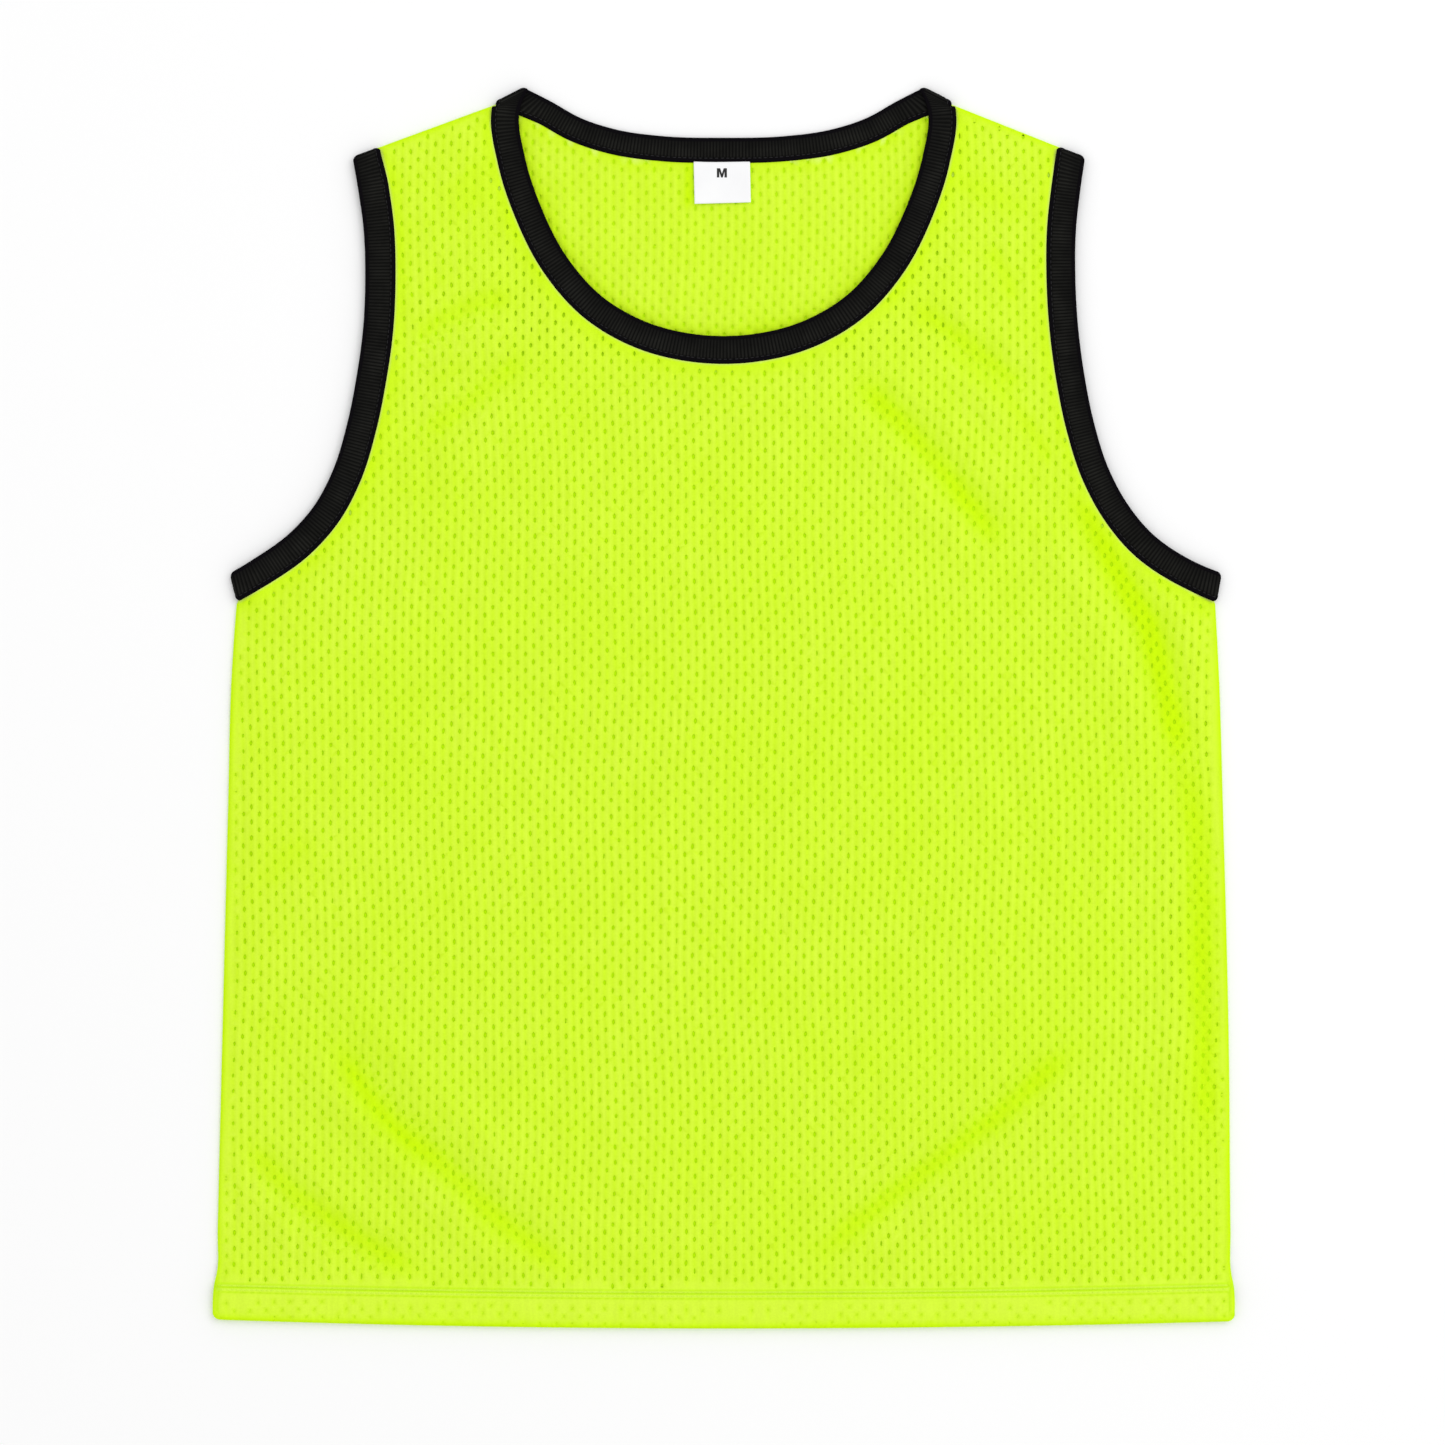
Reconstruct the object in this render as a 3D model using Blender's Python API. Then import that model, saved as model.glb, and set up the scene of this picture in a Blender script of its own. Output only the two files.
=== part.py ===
"""A sleeveless mesh training bib, laid flat on its back with the front panel on top.

Six pieces of cloth: a front and a back panel with turned-up hems, one folded strip round the neck,
one round each armhole, and a small label inside the back of the neck.

X runs across the garment, Y from its hem to its shoulders and Z up from the surface that it lies on.
Sizes are in millimetres, as a maker would take them on the flat garment, and turn into metres when
a mesh is made.
"""

import math

import bmesh
import bpy
import numpy as np
from mathutils import Vector
from mathutils.geometry import delaunay_2d_cdt

METRES = 0.001

# Cloth
PANEL_WALL = 1.0
HEM_WALL = 2.0
BINDING_WALL = 2.0
LABEL_WALL = 1.0
SEAM_GAP = 0.3

# Widths of the finished strips, the hem's top edge, half the height over which the wall turns
# double there, and the bow of its lower edge
NECK_FRONT_WIDTH = 14.0
NECK_BACK_WIDTH = 12.6
LEFT_ARM_WIDTHS = (15.5, 14.6)
RIGHT_ARM_WIDTHS = (14.7, 14.0)
HEM_TOP = -290.5
HEM_TURN = 0.8
HEM_ROWS = np.array((HEM_TOP + HEM_TURN, HEM_TOP, HEM_TOP - HEM_TURN))
HEM_LOW = -309.6
HEM_BOW = 2.8
HEM_CORNER = 4.0

# Free edge of the neck, half of it: out from the middle, and up
NECK_FRONT = (
    # across, up
    (100.3, 309.6),
    (101.8, 298.0),
    (99.2, 275.0),
    (91.5, 251.0),
    (78.5, 225.5),
    (60.5, 205.3),
    (38.0, 192.5),
    (14.0, 186.6),
)
NECK_FRONT_MIDDLE = 185.7
NECK_BACK = (
    # across, up
    (100.3, 309.6),
    (87.0, 302.0),
    (71.0, 294.2),
    (54.0, 289.2),
    (30.0, 285.8),
)
NECK_BACK_MIDDLE = 285.0

# Free edge of each armhole, from the tip of the shoulder down to the side seam
ARMHOLE = (
    # up, left, right
    (275.3, -185.8, 181.0),
    (258.0, -182.4, 178.0),
    (240.0, -179.9, 176.0),
    (215.0, -179.0, 175.6),
    (190.0, -180.0, 177.0),
    (165.0, -183.4, 180.3),
    (142.0, -188.0, 185.0),
    (119.0, -195.0, 192.4),
    (101.0, -204.5, 202.2),
    (87.0, -217.0, 214.0),
    (75.0, -233.7, 231.2),
    (67.7, -247.0, 249.0),
)

# Where each strip folds over an edge of the garment: its free corner to its sewn corner
NECK_FOLD = (-14.8, -7.6)
LEFT_TIP_FOLD = (13.6, 5.2)
RIGHT_TIP_FOLD = (-14.0, 5.5)
LEFT_UNDERARM_FOLD = (3.5, -14.6)
RIGHT_UNDERARM_FOLD = (-2.5, -14.8)
FOLD_BLEND = 15.0

# Side seams, from the underarm down to the hem
SIDES = (
    # up, left, right
    (52.0, -243.4, 245.6),
    (14.0, -246.0, 247.6),
    (-46.0, -247.6, 249.4),
    (-166.0, -250.6, 252.4),
    (-262.0, -253.2, 253.6),
    (-284.0, -254.2, 254.3),
    (-293.0, -255.4, 255.3),
    (-303.0, -255.5, 255.5),
)

# How the front panel lies over the back: its air, and its soft troughs between low ridges
LOFT = 1.5
PINCH = 14.0
WAVE_HEIGHT = 0.5
WAVES = (
    # length across and up for each radian, and the start in radians
    (47.0, 88.0, 0.0),
    (-96.0, 53.0, 1.3),
)
HEM_LOOSE_FROM = 2.0
HEM_AIR_FROM = 6.0
HEM_AIR_BLEND = 8.0
FOLDS = (
    # trough through three places (across, up); half width, depth and ridge height
    {"start": (60, 169), "middle": (103, 126), "end": (143, 78), "half": 10, "deep": 1.3, "ridge": 1.7},
    {"start": (92, 197), "middle": (132, 172), "end": (160, 152), "half": 9, "deep": 1.0, "ridge": 1.2},
    {"start": (172, 108), "middle": (215, 25), "end": (235, -55), "half": 12, "deep": 1.4, "ridge": 2.0},
    {"start": (233, -40), "middle": (240, -130), "end": (242, -235), "half": 9, "deep": 1.2, "ridge": 1.3},
    {"start": (-159, 174), "middle": (-138, 190), "end": (-102, 203), "half": 9, "deep": 0.8, "ridge": 1.0},
    {"start": (-160, 129), "middle": (-133, 150), "end": (-98, 177), "half": 10, "deep": 0.9, "ridge": 1.2},
    {"start": (-199, -152), "middle": (-149, -216), "end": (-72, -279), "half": 11, "deep": 1.3, "ridge": 1.8},
    {"start": (-236, -216), "middle": (-205, -254), "end": (-152, -281), "half": 9, "deep": 1.0, "ridge": 1.2},
    {"start": (43, -271), "middle": (100, -230), "end": (178, -162), "half": 11, "deep": 1.2, "ridge": 1.5},
)
RIDGE_PLACE = 1.8
TROUGH_NARROW = 1.6
RIDGE_NARROW = 1.3
FOLD_FADE = 4.0
FOLD_FADE_FROM = 0.15
FOLD_LINES = (-RIDGE_PLACE, -RIDGE_PLACE / 2, 0.0, RIDGE_PLACE / 2, RIDGE_PLACE)
FOLD_STEP = 16.0
ROUTE_STEP = 6.0

# Label under the back of the neck
LABEL_LEFT = -15.0
LABEL_RIGHT = 13.5
LABEL_LOW = 252.0
LABEL_HIGH = 272.3

# Spacing of the points that carry the shapes
EDGE_STEP = 10.0
STRIP_STEP = 8.0
HEM_STEP = 20.0
FRONT_LATTICE = 17.0
BACK_LATTICE = 60.0
FOLD_TURNS = 5

# How far those points keep from each other, the last two as shares of the spacing
HEM_ROW_CLEAR = 2.0
CREASE_CLEAR = 5.0
LATTICE_CLEAR_MOST = 8.0
LATTICE_EDGE_CLEAR = 0.45
LATTICE_CLEAR = 0.5

# Heights that follow from the layers
BACK_STRIP_Z = BINDING_WALL / 2
FRONT_STRIP_Z = BINDING_WALL * 1.5 + SEAM_GAP
FOLD_AXIS_Z = (BACK_STRIP_Z + FRONT_STRIP_Z) / 2
FOLD_REACH = FRONT_STRIP_Z - FOLD_AXIS_Z + BINDING_WALL / 2

NEON_MESH = (0.665, 0.947, 0.036)
BLACK_RIB = (0.008, 0.008, 0.007)
WHITE_SATIN = (0.90, 0.90, 0.90)


def unit(vectors):
    """Each vector at length one."""
    vectors = np.asarray(vectors, float)
    return vectors / np.linalg.norm(vectors, axis=-1, keepdims=True)


def smooth_step(value):
    """0 below 0, 1 above 1, and an even curve between."""
    value = np.clip(value, 0.0, 1.0)
    return value * value * (3 - 2 * value)


def smooth_line(rows, step):
    """Points about one step apart along a smooth curve through the rows."""
    rows = np.array(rows, float)
    chords = np.linalg.norm(np.diff(rows, axis=0), axis=1)
    along = np.concatenate([[0], np.cumsum(chords)])
    slopes = np.gradient(rows, along, axis=0, edge_order=2)
    dense = []
    for i, chord in enumerate(chords):
        t = np.linspace(0, 1, 25, endpoint=False)[:, None]
        dense.append(
            rows[i] * (2 * t**3 - 3 * t**2 + 1)
            + rows[i + 1] * (3 * t**2 - 2 * t**3)
            + slopes[i] * chord * (t**3 - 2 * t**2 + t)
            + slopes[i + 1] * chord * (t**3 - t**2)
        )
    dense = np.concatenate(dense + [rows[-1:]])
    reach = np.concatenate([[0], np.cumsum(np.linalg.norm(np.diff(dense, axis=0), axis=1))])
    even = np.linspace(0, reach[-1], max(2, round(reach[-1] / step) + 1))
    return np.stack([np.interp(even, reach, dense[:, k]) for k in (0, 1)], axis=1)


def mirrored(rows, middle):
    """A half edge, its middle point and its mirror image, from left to right."""
    left = [(-x, y) for x, y in rows]
    right = [(x, y) for x, y in reversed(rows)]
    return left + [(0.0, middle)] + right


def strip(rows, widths, start_fold, end_fold, side, step):
    """A strip in plan: its free edge, and at each point the vector across to its sewn edge.

    side is 1 where the panel is on the left of someone walking along the free edge, and -1 on the
    right. The strip turns towards the fold at each end, and stops short of it by the fold's radius.
    """
    rows = [np.array(row, float) for row in rows]
    for end, fold, inward in ((0, start_fold, 1), (-1, end_fold, -1)):
        across_fold = unit((-fold[1], fold[0]))
        heading = rows[inward if end == 0 else -2] - rows[end]
        if across_fold @ heading < 0:
            across_fold = -across_fold
        rows[end] = rows[end] + across_fold * FOLD_REACH
    free = smooth_line(rows, step)
    travel = unit(np.gradient(free, axis=0))
    reach = np.concatenate([[0], np.cumsum(np.linalg.norm(np.diff(free, axis=0), axis=1))])
    width = np.interp(reach, (0, reach[-1]), widths)[:, None]
    across = np.stack([-travel[:, 1], travel[:, 0]], axis=1) * side * width
    for distance, fold in ((reach, start_fold), (reach[-1] - reach, end_fold)):
        share = 1 - smooth_step(distance / FOLD_BLEND)[:, None]
        across = across * (1 - share) + np.array(fold) * share
    return free, across


def sewn_edge(free, across, gap):
    """The edge of the panel beside a strip, one gap away from it."""
    return free + across + unit(across) * gap


def armhole(column, widths, tip_fold, underarm_fold, side, step):
    rows = [(row[column], row[0]) for row in ARMHOLE]
    return strip(rows, widths, tip_fold, underarm_fold, side, step)


def neck(rows, middle, width, step):
    end_fold = (-NECK_FOLD[0], NECK_FOLD[1])
    return strip(mirrored(rows, middle), (width, width), NECK_FOLD, end_fold, -1, step)


def strips(step):
    """All four edges in plan: left armhole, right armhole, front neck and back neck."""
    return {
        "left_arm": armhole(1, LEFT_ARM_WIDTHS, LEFT_TIP_FOLD, LEFT_UNDERARM_FOLD, 1, step),
        "right_arm": armhole(2, RIGHT_ARM_WIDTHS, RIGHT_TIP_FOLD, RIGHT_UNDERARM_FOLD, -1, step),
        "neck_front": neck(NECK_FRONT, NECK_FRONT_MIDDLE, NECK_FRONT_WIDTH, step),
        "neck_back": neck(NECK_BACK, NECK_BACK_MIDDLE, NECK_BACK_WIDTH, step),
    }


def hem_line(step):
    """The lower edge from left to right, bowed down in the middle, with rounded corners."""
    half = SIDES[-1][2]
    across = np.linspace(-half + HEM_CORNER, half - HEM_CORNER, round(2 * half / step))
    line = np.stack([across, HEM_LOW + HEM_BOW * (across / half) ** 2], axis=1)
    corner = np.array([(half - HEM_CORNER * 0.3, line[0, 1] + HEM_CORNER * 0.3)])
    return np.concatenate([corner * (-1, 1), line, corner])


def seam_line(start, end, step):
    """Points inside a straight seam, its ends left out."""
    count = max(2, round(np.linalg.norm(end - start) / step))
    share = np.linspace(0, 1, count + 1)[1:-1, None]
    return start + (end - start) * share


def carried_to_fold(line, fold, end):
    """Where a sewn edge meets its strip's fold, beyond one end (0 or -1) of the line."""
    across_fold = unit((-fold[1], fold[0]))
    beyond = line[end] - line[1 if end == 0 else -2]
    if across_fold @ beyond < 0:
        across_fold = -across_fold
    return line[end] + across_fold * FOLD_REACH


def shoulder_seams(left_arm, right_arm, neck_line):
    """Both ends of the left and the right shoulder seam, each from the arm's tip to the neck."""
    right_fold = (-NECK_FOLD[0], NECK_FOLD[1])
    left_tip = carried_to_fold(left_arm, LEFT_TIP_FOLD, 0)
    right_tip = carried_to_fold(right_arm, RIGHT_TIP_FOLD, 0)
    left_neck = carried_to_fold(neck_line, NECK_FOLD, 0)
    right_neck = carried_to_fold(neck_line, right_fold, -1)
    return [np.stack([left_tip, left_neck]), np.stack([right_tip, right_neck])]


def side_line(column):
    """A side seam from the underarm down, with a point on each of the hem's three close rows."""
    line = smooth_line([(row[column], row[0]) for row in SIDES], EDGE_STEP * 1.5)
    clear = np.abs(line[:, 1:] - HEM_ROWS).min(axis=1) > HEM_ROW_CLEAR
    across = np.interp(HEM_ROWS, line[::-1, 1], line[::-1, 0])
    line = np.concatenate([line[clear], np.stack([across, HEM_ROWS], axis=1)])
    return line[np.argsort(-line[:, 1])]


def panel_outline(neck_edge):
    """A panel's outline in plan, anticlockwise from its lower left corner."""
    edges = strips(EDGE_STEP)
    left_side, right_side = side_line(1), side_line(2)
    left_arm = sewn_edge(*edges["left_arm"], SEAM_GAP)
    right_arm = sewn_edge(*edges["right_arm"], SEAM_GAP)
    neck_line = sewn_edge(*edges[neck_edge], SEAM_GAP)
    left_seam, right_seam = shoulder_seams(left_arm, right_arm, neck_line)
    return np.concatenate(
        [
            hem_line(EDGE_STEP * 1.5),
            right_side[::-1],
            right_arm[::-1],
            right_seam[:1],
            seam_line(*right_seam, EDGE_STEP),
            right_seam[1:],
            neck_line[::-1],
            left_seam[1:],
            seam_line(*left_seam[::-1], EDGE_STEP),
            left_seam[:1],
            left_arm,
            left_side,
        ]
    )


def distance_to(points, line):
    """How far each point is from a line of points in plan."""
    start, run = line[:-1], np.diff(line, axis=0)
    away = points[:, None] - start
    share = np.clip((away * run).sum(2) / (run * run).sum(1), 0, 1)
    return np.linalg.norm(away - share[..., None] * run, axis=2).min(axis=1)


def inside(points, outline):
    """Which points lie inside a closed outline."""
    start, end = outline, np.roll(outline, -1, axis=0)
    x, y = points[:, :1], points[:, 1:]
    spans = (start[:, 1] > y) != (end[:, 1] > y)
    rise = np.where(end[:, 1] == start[:, 1], 1e-9, end[:, 1] - start[:, 1])
    crossing = start[:, 0] + (y - start[:, 1]) * (end[:, 0] - start[:, 0]) / rise
    return (spans & (x < crossing)).sum(axis=1) % 2 == 1


def hem_share(points):
    """0 above the hem's top edge and 1 in the turned-up band."""
    return smooth_step((HEM_TOP + HEM_TURN - points[:, 1]) / (2 * HEM_TURN))


def panel_wall(points):
    return PANEL_WALL + (HEM_WALL - PANEL_WALL) * hem_share(points)


def fold_route(fold, step):
    return smooth_line((fold["start"], fold["middle"], fold["end"]), step)


def fold_height(points, fold):
    """Height that one trough and the ridges beside it add, fading out at both ends."""
    route = fold_route(fold, ROUTE_STEP)
    away = points[:, None] - route
    nearest = np.linalg.norm(away, axis=2).argmin(axis=1)
    travel = unit(np.gradient(route, axis=0))[nearest]
    offset = away[np.arange(len(points)), nearest]
    sideways = (offset[:, 1] * travel[:, 0] - offset[:, 0] * travel[:, 1]) / fold["half"]
    beyond = np.abs((offset * travel).sum(axis=1)) / fold["half"]
    along = nearest / (len(route) - 1)
    fade = smooth_step(FOLD_FADE * along + FOLD_FADE_FROM)
    fade = fade * smooth_step(FOLD_FADE * (1 - along) + FOLD_FADE_FROM) * np.exp(-(beyond**2))
    trough = -fold["deep"] * np.exp(-(sideways**2) * TROUGH_NARROW)
    ridge = fold["ridge"] * np.exp(-((np.abs(sideways) - RIDGE_PLACE) ** 2) * RIDGE_NARROW)
    return (trough + ridge) * fade


def front_under(points):
    """Underside of the front panel: on the back at its free edges, loose over it elsewhere."""
    edges = strips(EDGE_STEP)
    sides = [side_line(column) for column in (1, 2)]
    bound = [sewn_edge(*edges[name], 0) for name in ("left_arm", "right_arm", "neck_front")]
    shoulders = shoulder_seams(*bound)
    pinched = smooth_step(
        np.min([distance_to(points, line) for line in sides + shoulders], axis=0) / PINCH
    )
    loose = smooth_step(np.min([distance_to(points, line) for line in bound], axis=0) / PINCH)
    loose = loose * smooth_step((points[:, 1] - HEM_TOP - HEM_LOOSE_FROM) / PINCH)
    x, y = points[:, 0], points[:, 1]
    waves = sum(np.sin(x / across + y / up + start) for across, up, start in WAVES)
    loft = WAVE_HEIGHT * waves + sum(fold_height(points, fold) for fold in FOLDS)
    air = (LOFT + np.maximum(loft, -LOFT) * loose) * pinched
    air = air * (1 - smooth_step((HEM_TOP + HEM_AIR_FROM - points[:, 1]) / HEM_AIR_BLEND))
    return panel_wall(points) + SEAM_GAP + air


def front_over(points):
    return front_under(points) + panel_wall(points)


def back_under(points):
    return np.zeros(len(points))


def lattice(outline, spacing, kept_points):
    """Points in staggered rows inside the outline, clear of it and of the points already kept."""
    low, high = outline.min(axis=0), outline.max(axis=0)
    found = []
    for row, y in enumerate(np.arange(low[1], high[1], spacing * math.sqrt(0.75))):
        for x in np.arange(low[0] + (row % 2) * spacing / 2, high[0], spacing):
            found.append((x, y))
    found = np.array(found)
    closed = np.concatenate([outline, outline[:1]])
    found = found[inside(found, outline)]
    found = found[distance_to(found, closed) > spacing * LATTICE_EDGE_CLEAR]
    clear = np.linalg.norm(found[:, None] - kept_points, axis=2).min(axis=1)
    return found[clear > min(spacing * LATTICE_CLEAR, LATTICE_CLEAR_MOST)]


def hem_lines():
    """Three close lines along the hem's top edge, from seam to seam, where the wall turns double."""
    left, right = side_line(1), side_line(2)
    lines = []
    for y in HEM_ROWS:
        ends = [np.interp(y, side[::-1, 1], side[::-1, 0]) for side in (left, right)]
        across = np.linspace(*ends, round((ends[1] - ends[0]) / HEM_STEP) + 1)
        lines.append(np.stack([across, np.full(len(across), y)], axis=1))
    return lines


def crease_points(outline):
    """Rows of points along each fold's trough, flanks and ridges."""
    found = []
    for fold in FOLDS:
        route = fold_route(fold, FOLD_STEP)
        travel = unit(np.gradient(route, axis=0))
        sideways = np.stack([-travel[:, 1], travel[:, 0]], axis=1)
        for line in FOLD_LINES:
            for point in route + sideways * line * fold["half"]:
                crowded = any(np.hypot(*(point - other)) < CREASE_CLEAR for other in found)
                if not crowded:
                    found.append(point)
    found = np.array(found)
    closed = np.concatenate([outline, outline[:1]])
    return found[inside(found, outline) & (distance_to(found, closed) > CREASE_CLEAR)]


def plain_material(name, colour, roughness):
    material = bpy.data.materials.new(name)
    material.use_nodes = True
    shader = material.node_tree.nodes["Principled BSDF"]
    shader.inputs["Base Color"].default_value = (*colour, 1.0)
    shader.inputs["Roughness"].default_value = roughness
    shader.inputs["Metallic"].default_value = 0.0
    return material


def add_object(name, points, faces, material):
    """A mesh object from points in millimetres, its faces turned outwards."""
    mesh = bpy.data.meshes.new(name)
    mesh.from_pydata((np.array(points) * METRES).tolist(), [], faces)
    shape = bmesh.new()
    shape.from_mesh(mesh)
    bmesh.ops.recalc_face_normals(shape, faces=shape.faces)
    shape.to_mesh(mesh)
    shape.free()
    mesh.materials.append(material)
    mesh.shade_smooth()
    mesh.set_sharp_from_angle(angle=math.radians(40))
    piece = bpy.data.objects.new(name, mesh)
    bpy.context.scene.collection.objects.link(piece)
    return piece


def add_cloth(name, outline, lines, inner, under, over, material):
    """A wall of cloth with the outline in plan, between an under and an upper height.

    Edges of the wall follow the lines, and its other points are the inner ones.
    """
    plan = np.concatenate([outline, *lines, inner])
    count = len(outline)
    kept = [(i, (i + 1) % count) for i in range(count)]
    for line in lines:
        kept += [(count + i, count + i + 1) for i in range(len(line) - 1)]
        count += len(line)
    flat, _, faces, *_ = delaunay_2d_cdt([Vector(p) for p in plan], kept, [], 1, 1e-4)
    plan = np.array([tuple(p) for p in flat])
    size = len(plan)
    below = np.column_stack([plan, under(plan)])
    above = np.column_stack([plan, over(plan)])
    walls = list(map(tuple, faces))
    walls += [tuple(size + i for i in reversed(face)) for face in faces]
    steps = {(a, b) for face in faces for a, b in zip(face, face[1:] + face[:1])}
    walls += [(b, a, a + size, b + size) for a, b in steps if (b, a) not in steps]
    return add_object(name, np.concatenate([above, below]), walls, material)


def strip_profile(width):
    """Corners of a strip's section: distance across from the free edge, and out of its middle."""
    half = BINDING_WALL / 2
    return (
        (0.0, -0.5 * half),
        (0.0, 0.5 * half),
        (0.7, half),
        (width - 0.5, half),
        (width, 0.5 * half),
        (width, -0.5 * half),
        (width - 0.5, -half),
        (0.7, -half),
    )


def turned_sections(free, across, first):
    """Sections round the fold at a strip's end, about an axis that lies along the fold."""
    outward = unit((-across[1], across[0]))
    if outward @ (free[-1] - free[-2]) < 0:
        outward = -outward
    radius = FRONT_STRIP_Z - FOLD_AXIS_Z
    sections = []
    for turn in np.linspace(first, -first, FOLD_TURNS + 2)[1:-1]:
        away = np.array([*(outward * math.cos(turn)), math.sin(turn)])
        sections.append((np.array([*free[-1], FOLD_AXIS_Z]) + away * radius, across, away))
    return sections


def add_ring(name, front, back, material):
    """A strip that runs along the front, folds over, runs back beneath itself and folds up again.

    front and back are (free edge, across) in plan, and the back runs the other way.
    """
    sections = []
    for (free, across), height, side in ((front, FRONT_STRIP_Z, 1), (back, BACK_STRIP_Z, -1)):
        for point, vector in zip(free, across):
            sections.append((np.array([*point, height]), vector, np.array([0.0, 0.0, side])))
        sections += turned_sections(free, across[-1], side * math.pi / 2)
    points = []
    for place, vector, normal in sections:
        width = np.linalg.norm(vector)
        direction = np.array([*(vector / width), 0.0])
        for over, out in strip_profile(width):
            points.append(place + direction * over + normal * out)
    corners, count = 8, len(sections)
    faces = []
    for i in range(count):
        here, there = i * corners, (i + 1) % count * corners
        for k in range(corners):
            n = (k + 1) % corners
            faces.append((here + k, here + n, there + n, there + k))
    return add_object(name, points, faces, material)


def reverse(edge):
    free, across = edge
    return free[::-1], across[::-1]


def clear_scene():
    for thing in list(bpy.data.objects):
        bpy.data.objects.remove(thing, do_unlink=True)


def build_panels():
    hems = hem_lines()
    front_outline = panel_outline("neck_front")
    creases = crease_points(front_outline)
    inner = lattice(front_outline, FRONT_LATTICE, np.concatenate([*hems, creases]))
    inner = np.concatenate([creases, inner])
    mesh_cloth = plain_material("neon_mesh_front", NEON_MESH, 0.75)
    add_cloth("front_panel", front_outline, hems, inner, front_under, front_over, mesh_cloth)

    back_outline = panel_outline("neck_back")
    inner = lattice(back_outline, BACK_LATTICE, np.concatenate(hems))
    mesh_cloth = plain_material("neon_mesh_back", NEON_MESH, 0.75)
    add_cloth("back_panel", back_outline, hems, inner, back_under, panel_wall, mesh_cloth)


def build_bindings():
    edges = strips(STRIP_STEP)
    rings = (
        ("neck_binding", edges["neck_front"], reverse(edges["neck_back"])),
        ("left_arm_binding", edges["left_arm"], reverse(edges["left_arm"])),
        ("right_arm_binding", edges["right_arm"], reverse(edges["right_arm"])),
    )
    for name, front, back in rings:
        add_ring(name, front, back, plain_material("black_rib_" + name, BLACK_RIB, 0.85))


def build_label():
    corners = [
        (LABEL_LEFT, LABEL_LOW),
        (LABEL_RIGHT, LABEL_LOW),
        (LABEL_RIGHT, LABEL_HIGH),
        (LABEL_LEFT, LABEL_HIGH),
    ]
    outline = np.array(corners)
    middle = outline.mean(axis=0, keepdims=True)

    def under(points):
        return panel_wall(points) + SEAM_GAP

    def over(points):
        return under(points) + LABEL_WALL

    satin = plain_material("white_satin", WHITE_SATIN, 0.45)
    add_cloth("size_label", outline, [], middle, under, over, satin)


clear_scene()
build_panels()
build_bindings()
build_label()
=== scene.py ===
import math

import bpy
import numpy as np
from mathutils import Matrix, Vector
from mathutils.geometry import delaunay_2d_cdt


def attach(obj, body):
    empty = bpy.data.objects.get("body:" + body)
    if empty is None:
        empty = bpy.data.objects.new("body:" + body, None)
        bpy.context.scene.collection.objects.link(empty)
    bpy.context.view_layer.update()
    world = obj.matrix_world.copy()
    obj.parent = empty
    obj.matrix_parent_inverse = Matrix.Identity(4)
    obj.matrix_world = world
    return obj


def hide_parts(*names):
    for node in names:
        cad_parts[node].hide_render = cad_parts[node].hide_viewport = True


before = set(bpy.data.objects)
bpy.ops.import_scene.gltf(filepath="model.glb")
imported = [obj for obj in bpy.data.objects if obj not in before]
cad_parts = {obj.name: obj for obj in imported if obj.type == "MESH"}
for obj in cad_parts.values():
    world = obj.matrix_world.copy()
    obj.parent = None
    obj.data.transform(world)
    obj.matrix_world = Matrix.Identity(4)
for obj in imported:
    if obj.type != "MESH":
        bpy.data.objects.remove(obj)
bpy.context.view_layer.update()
mm = 0.001
seeded = np.random.default_rng(23)


# Camera, straight over the bib as in the photograph
camera = {"lens": 100.0, "sensor": 36.0, "middle": (-0.6, -7.25), "width": 721.5, "height": 3.0}


def addCamera():
    data = bpy.data.cameras.new("overheadCamera")
    data.lens = camera["lens"]
    data.sensor_width = camera["sensor"]
    data.clip_start = 0.05
    data.clip_end = 40.0
    holder = bpy.data.objects.new("overheadCamera", data)
    away = camera["width"] * camera["lens"] / camera["sensor"] + camera["height"]
    holder.location = (camera["middle"][0] * mm, camera["middle"][1] * mm, away * mm)
    bpy.context.scene.collection.objects.link(holder)
    bpy.context.scene.camera = holder


addCamera()
print("camera set")


# Small helpers for lines and meshes
def unit(vectors):
    vectors = np.asarray(vectors, float)
    return vectors / np.linalg.norm(vectors, axis=-1, keepdims=True)


def smoothStep(value):
    value = np.clip(value, 0.0, 1.0)
    return value * value * (3 - 2 * value)


def bell(value, half):  # 1 at nought, soft on both sides
    return np.exp(-((value / half) ** 2))


def ripples(x, table):  # height, length and start of each wave
    return sum(high * np.sin(x / long + start) for high, long, start in table)


def fadedEnds(place, rate, start):  # 1 along a line, less towards both of its ends
    return smoothStep(rate * place + start) * smoothStep(rate * (1 - place) + start)


def travelled(line):
    steps = np.linalg.norm(np.diff(line, axis=0), axis=1)
    return np.concatenate([[0], np.cumsum(steps)])


def smoothLine(rows, step, fine=120):  # points one step apart on a smooth curve through the rows
    rows = np.array(rows, float)
    along = travelled(rows)
    slopes = np.gradient(rows, along, axis=0, edge_order=2 if len(rows) > 2 else 1)
    dense = []
    for i, chord in enumerate(np.diff(along)):
        t = np.linspace(0, 1, fine, endpoint=False)[:, None]
        dense.append(
            rows[i] * (2 * t**3 - 3 * t**2 + 1)
            + rows[i + 1] * (3 * t**2 - 2 * t**3)
            + slopes[i] * chord * (t**3 - 2 * t**2 + t)
            + slopes[i + 1] * chord * (t**3 - t**2)
        )
    dense = np.concatenate(dense + [rows[-1:]])
    reach = travelled(dense)
    even = np.linspace(0, reach[-1], max(2, round(reach[-1] / step) + 1))
    return np.stack([np.interp(even, reach, dense[:, k]) for k in (0, 1)], axis=1)


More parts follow.
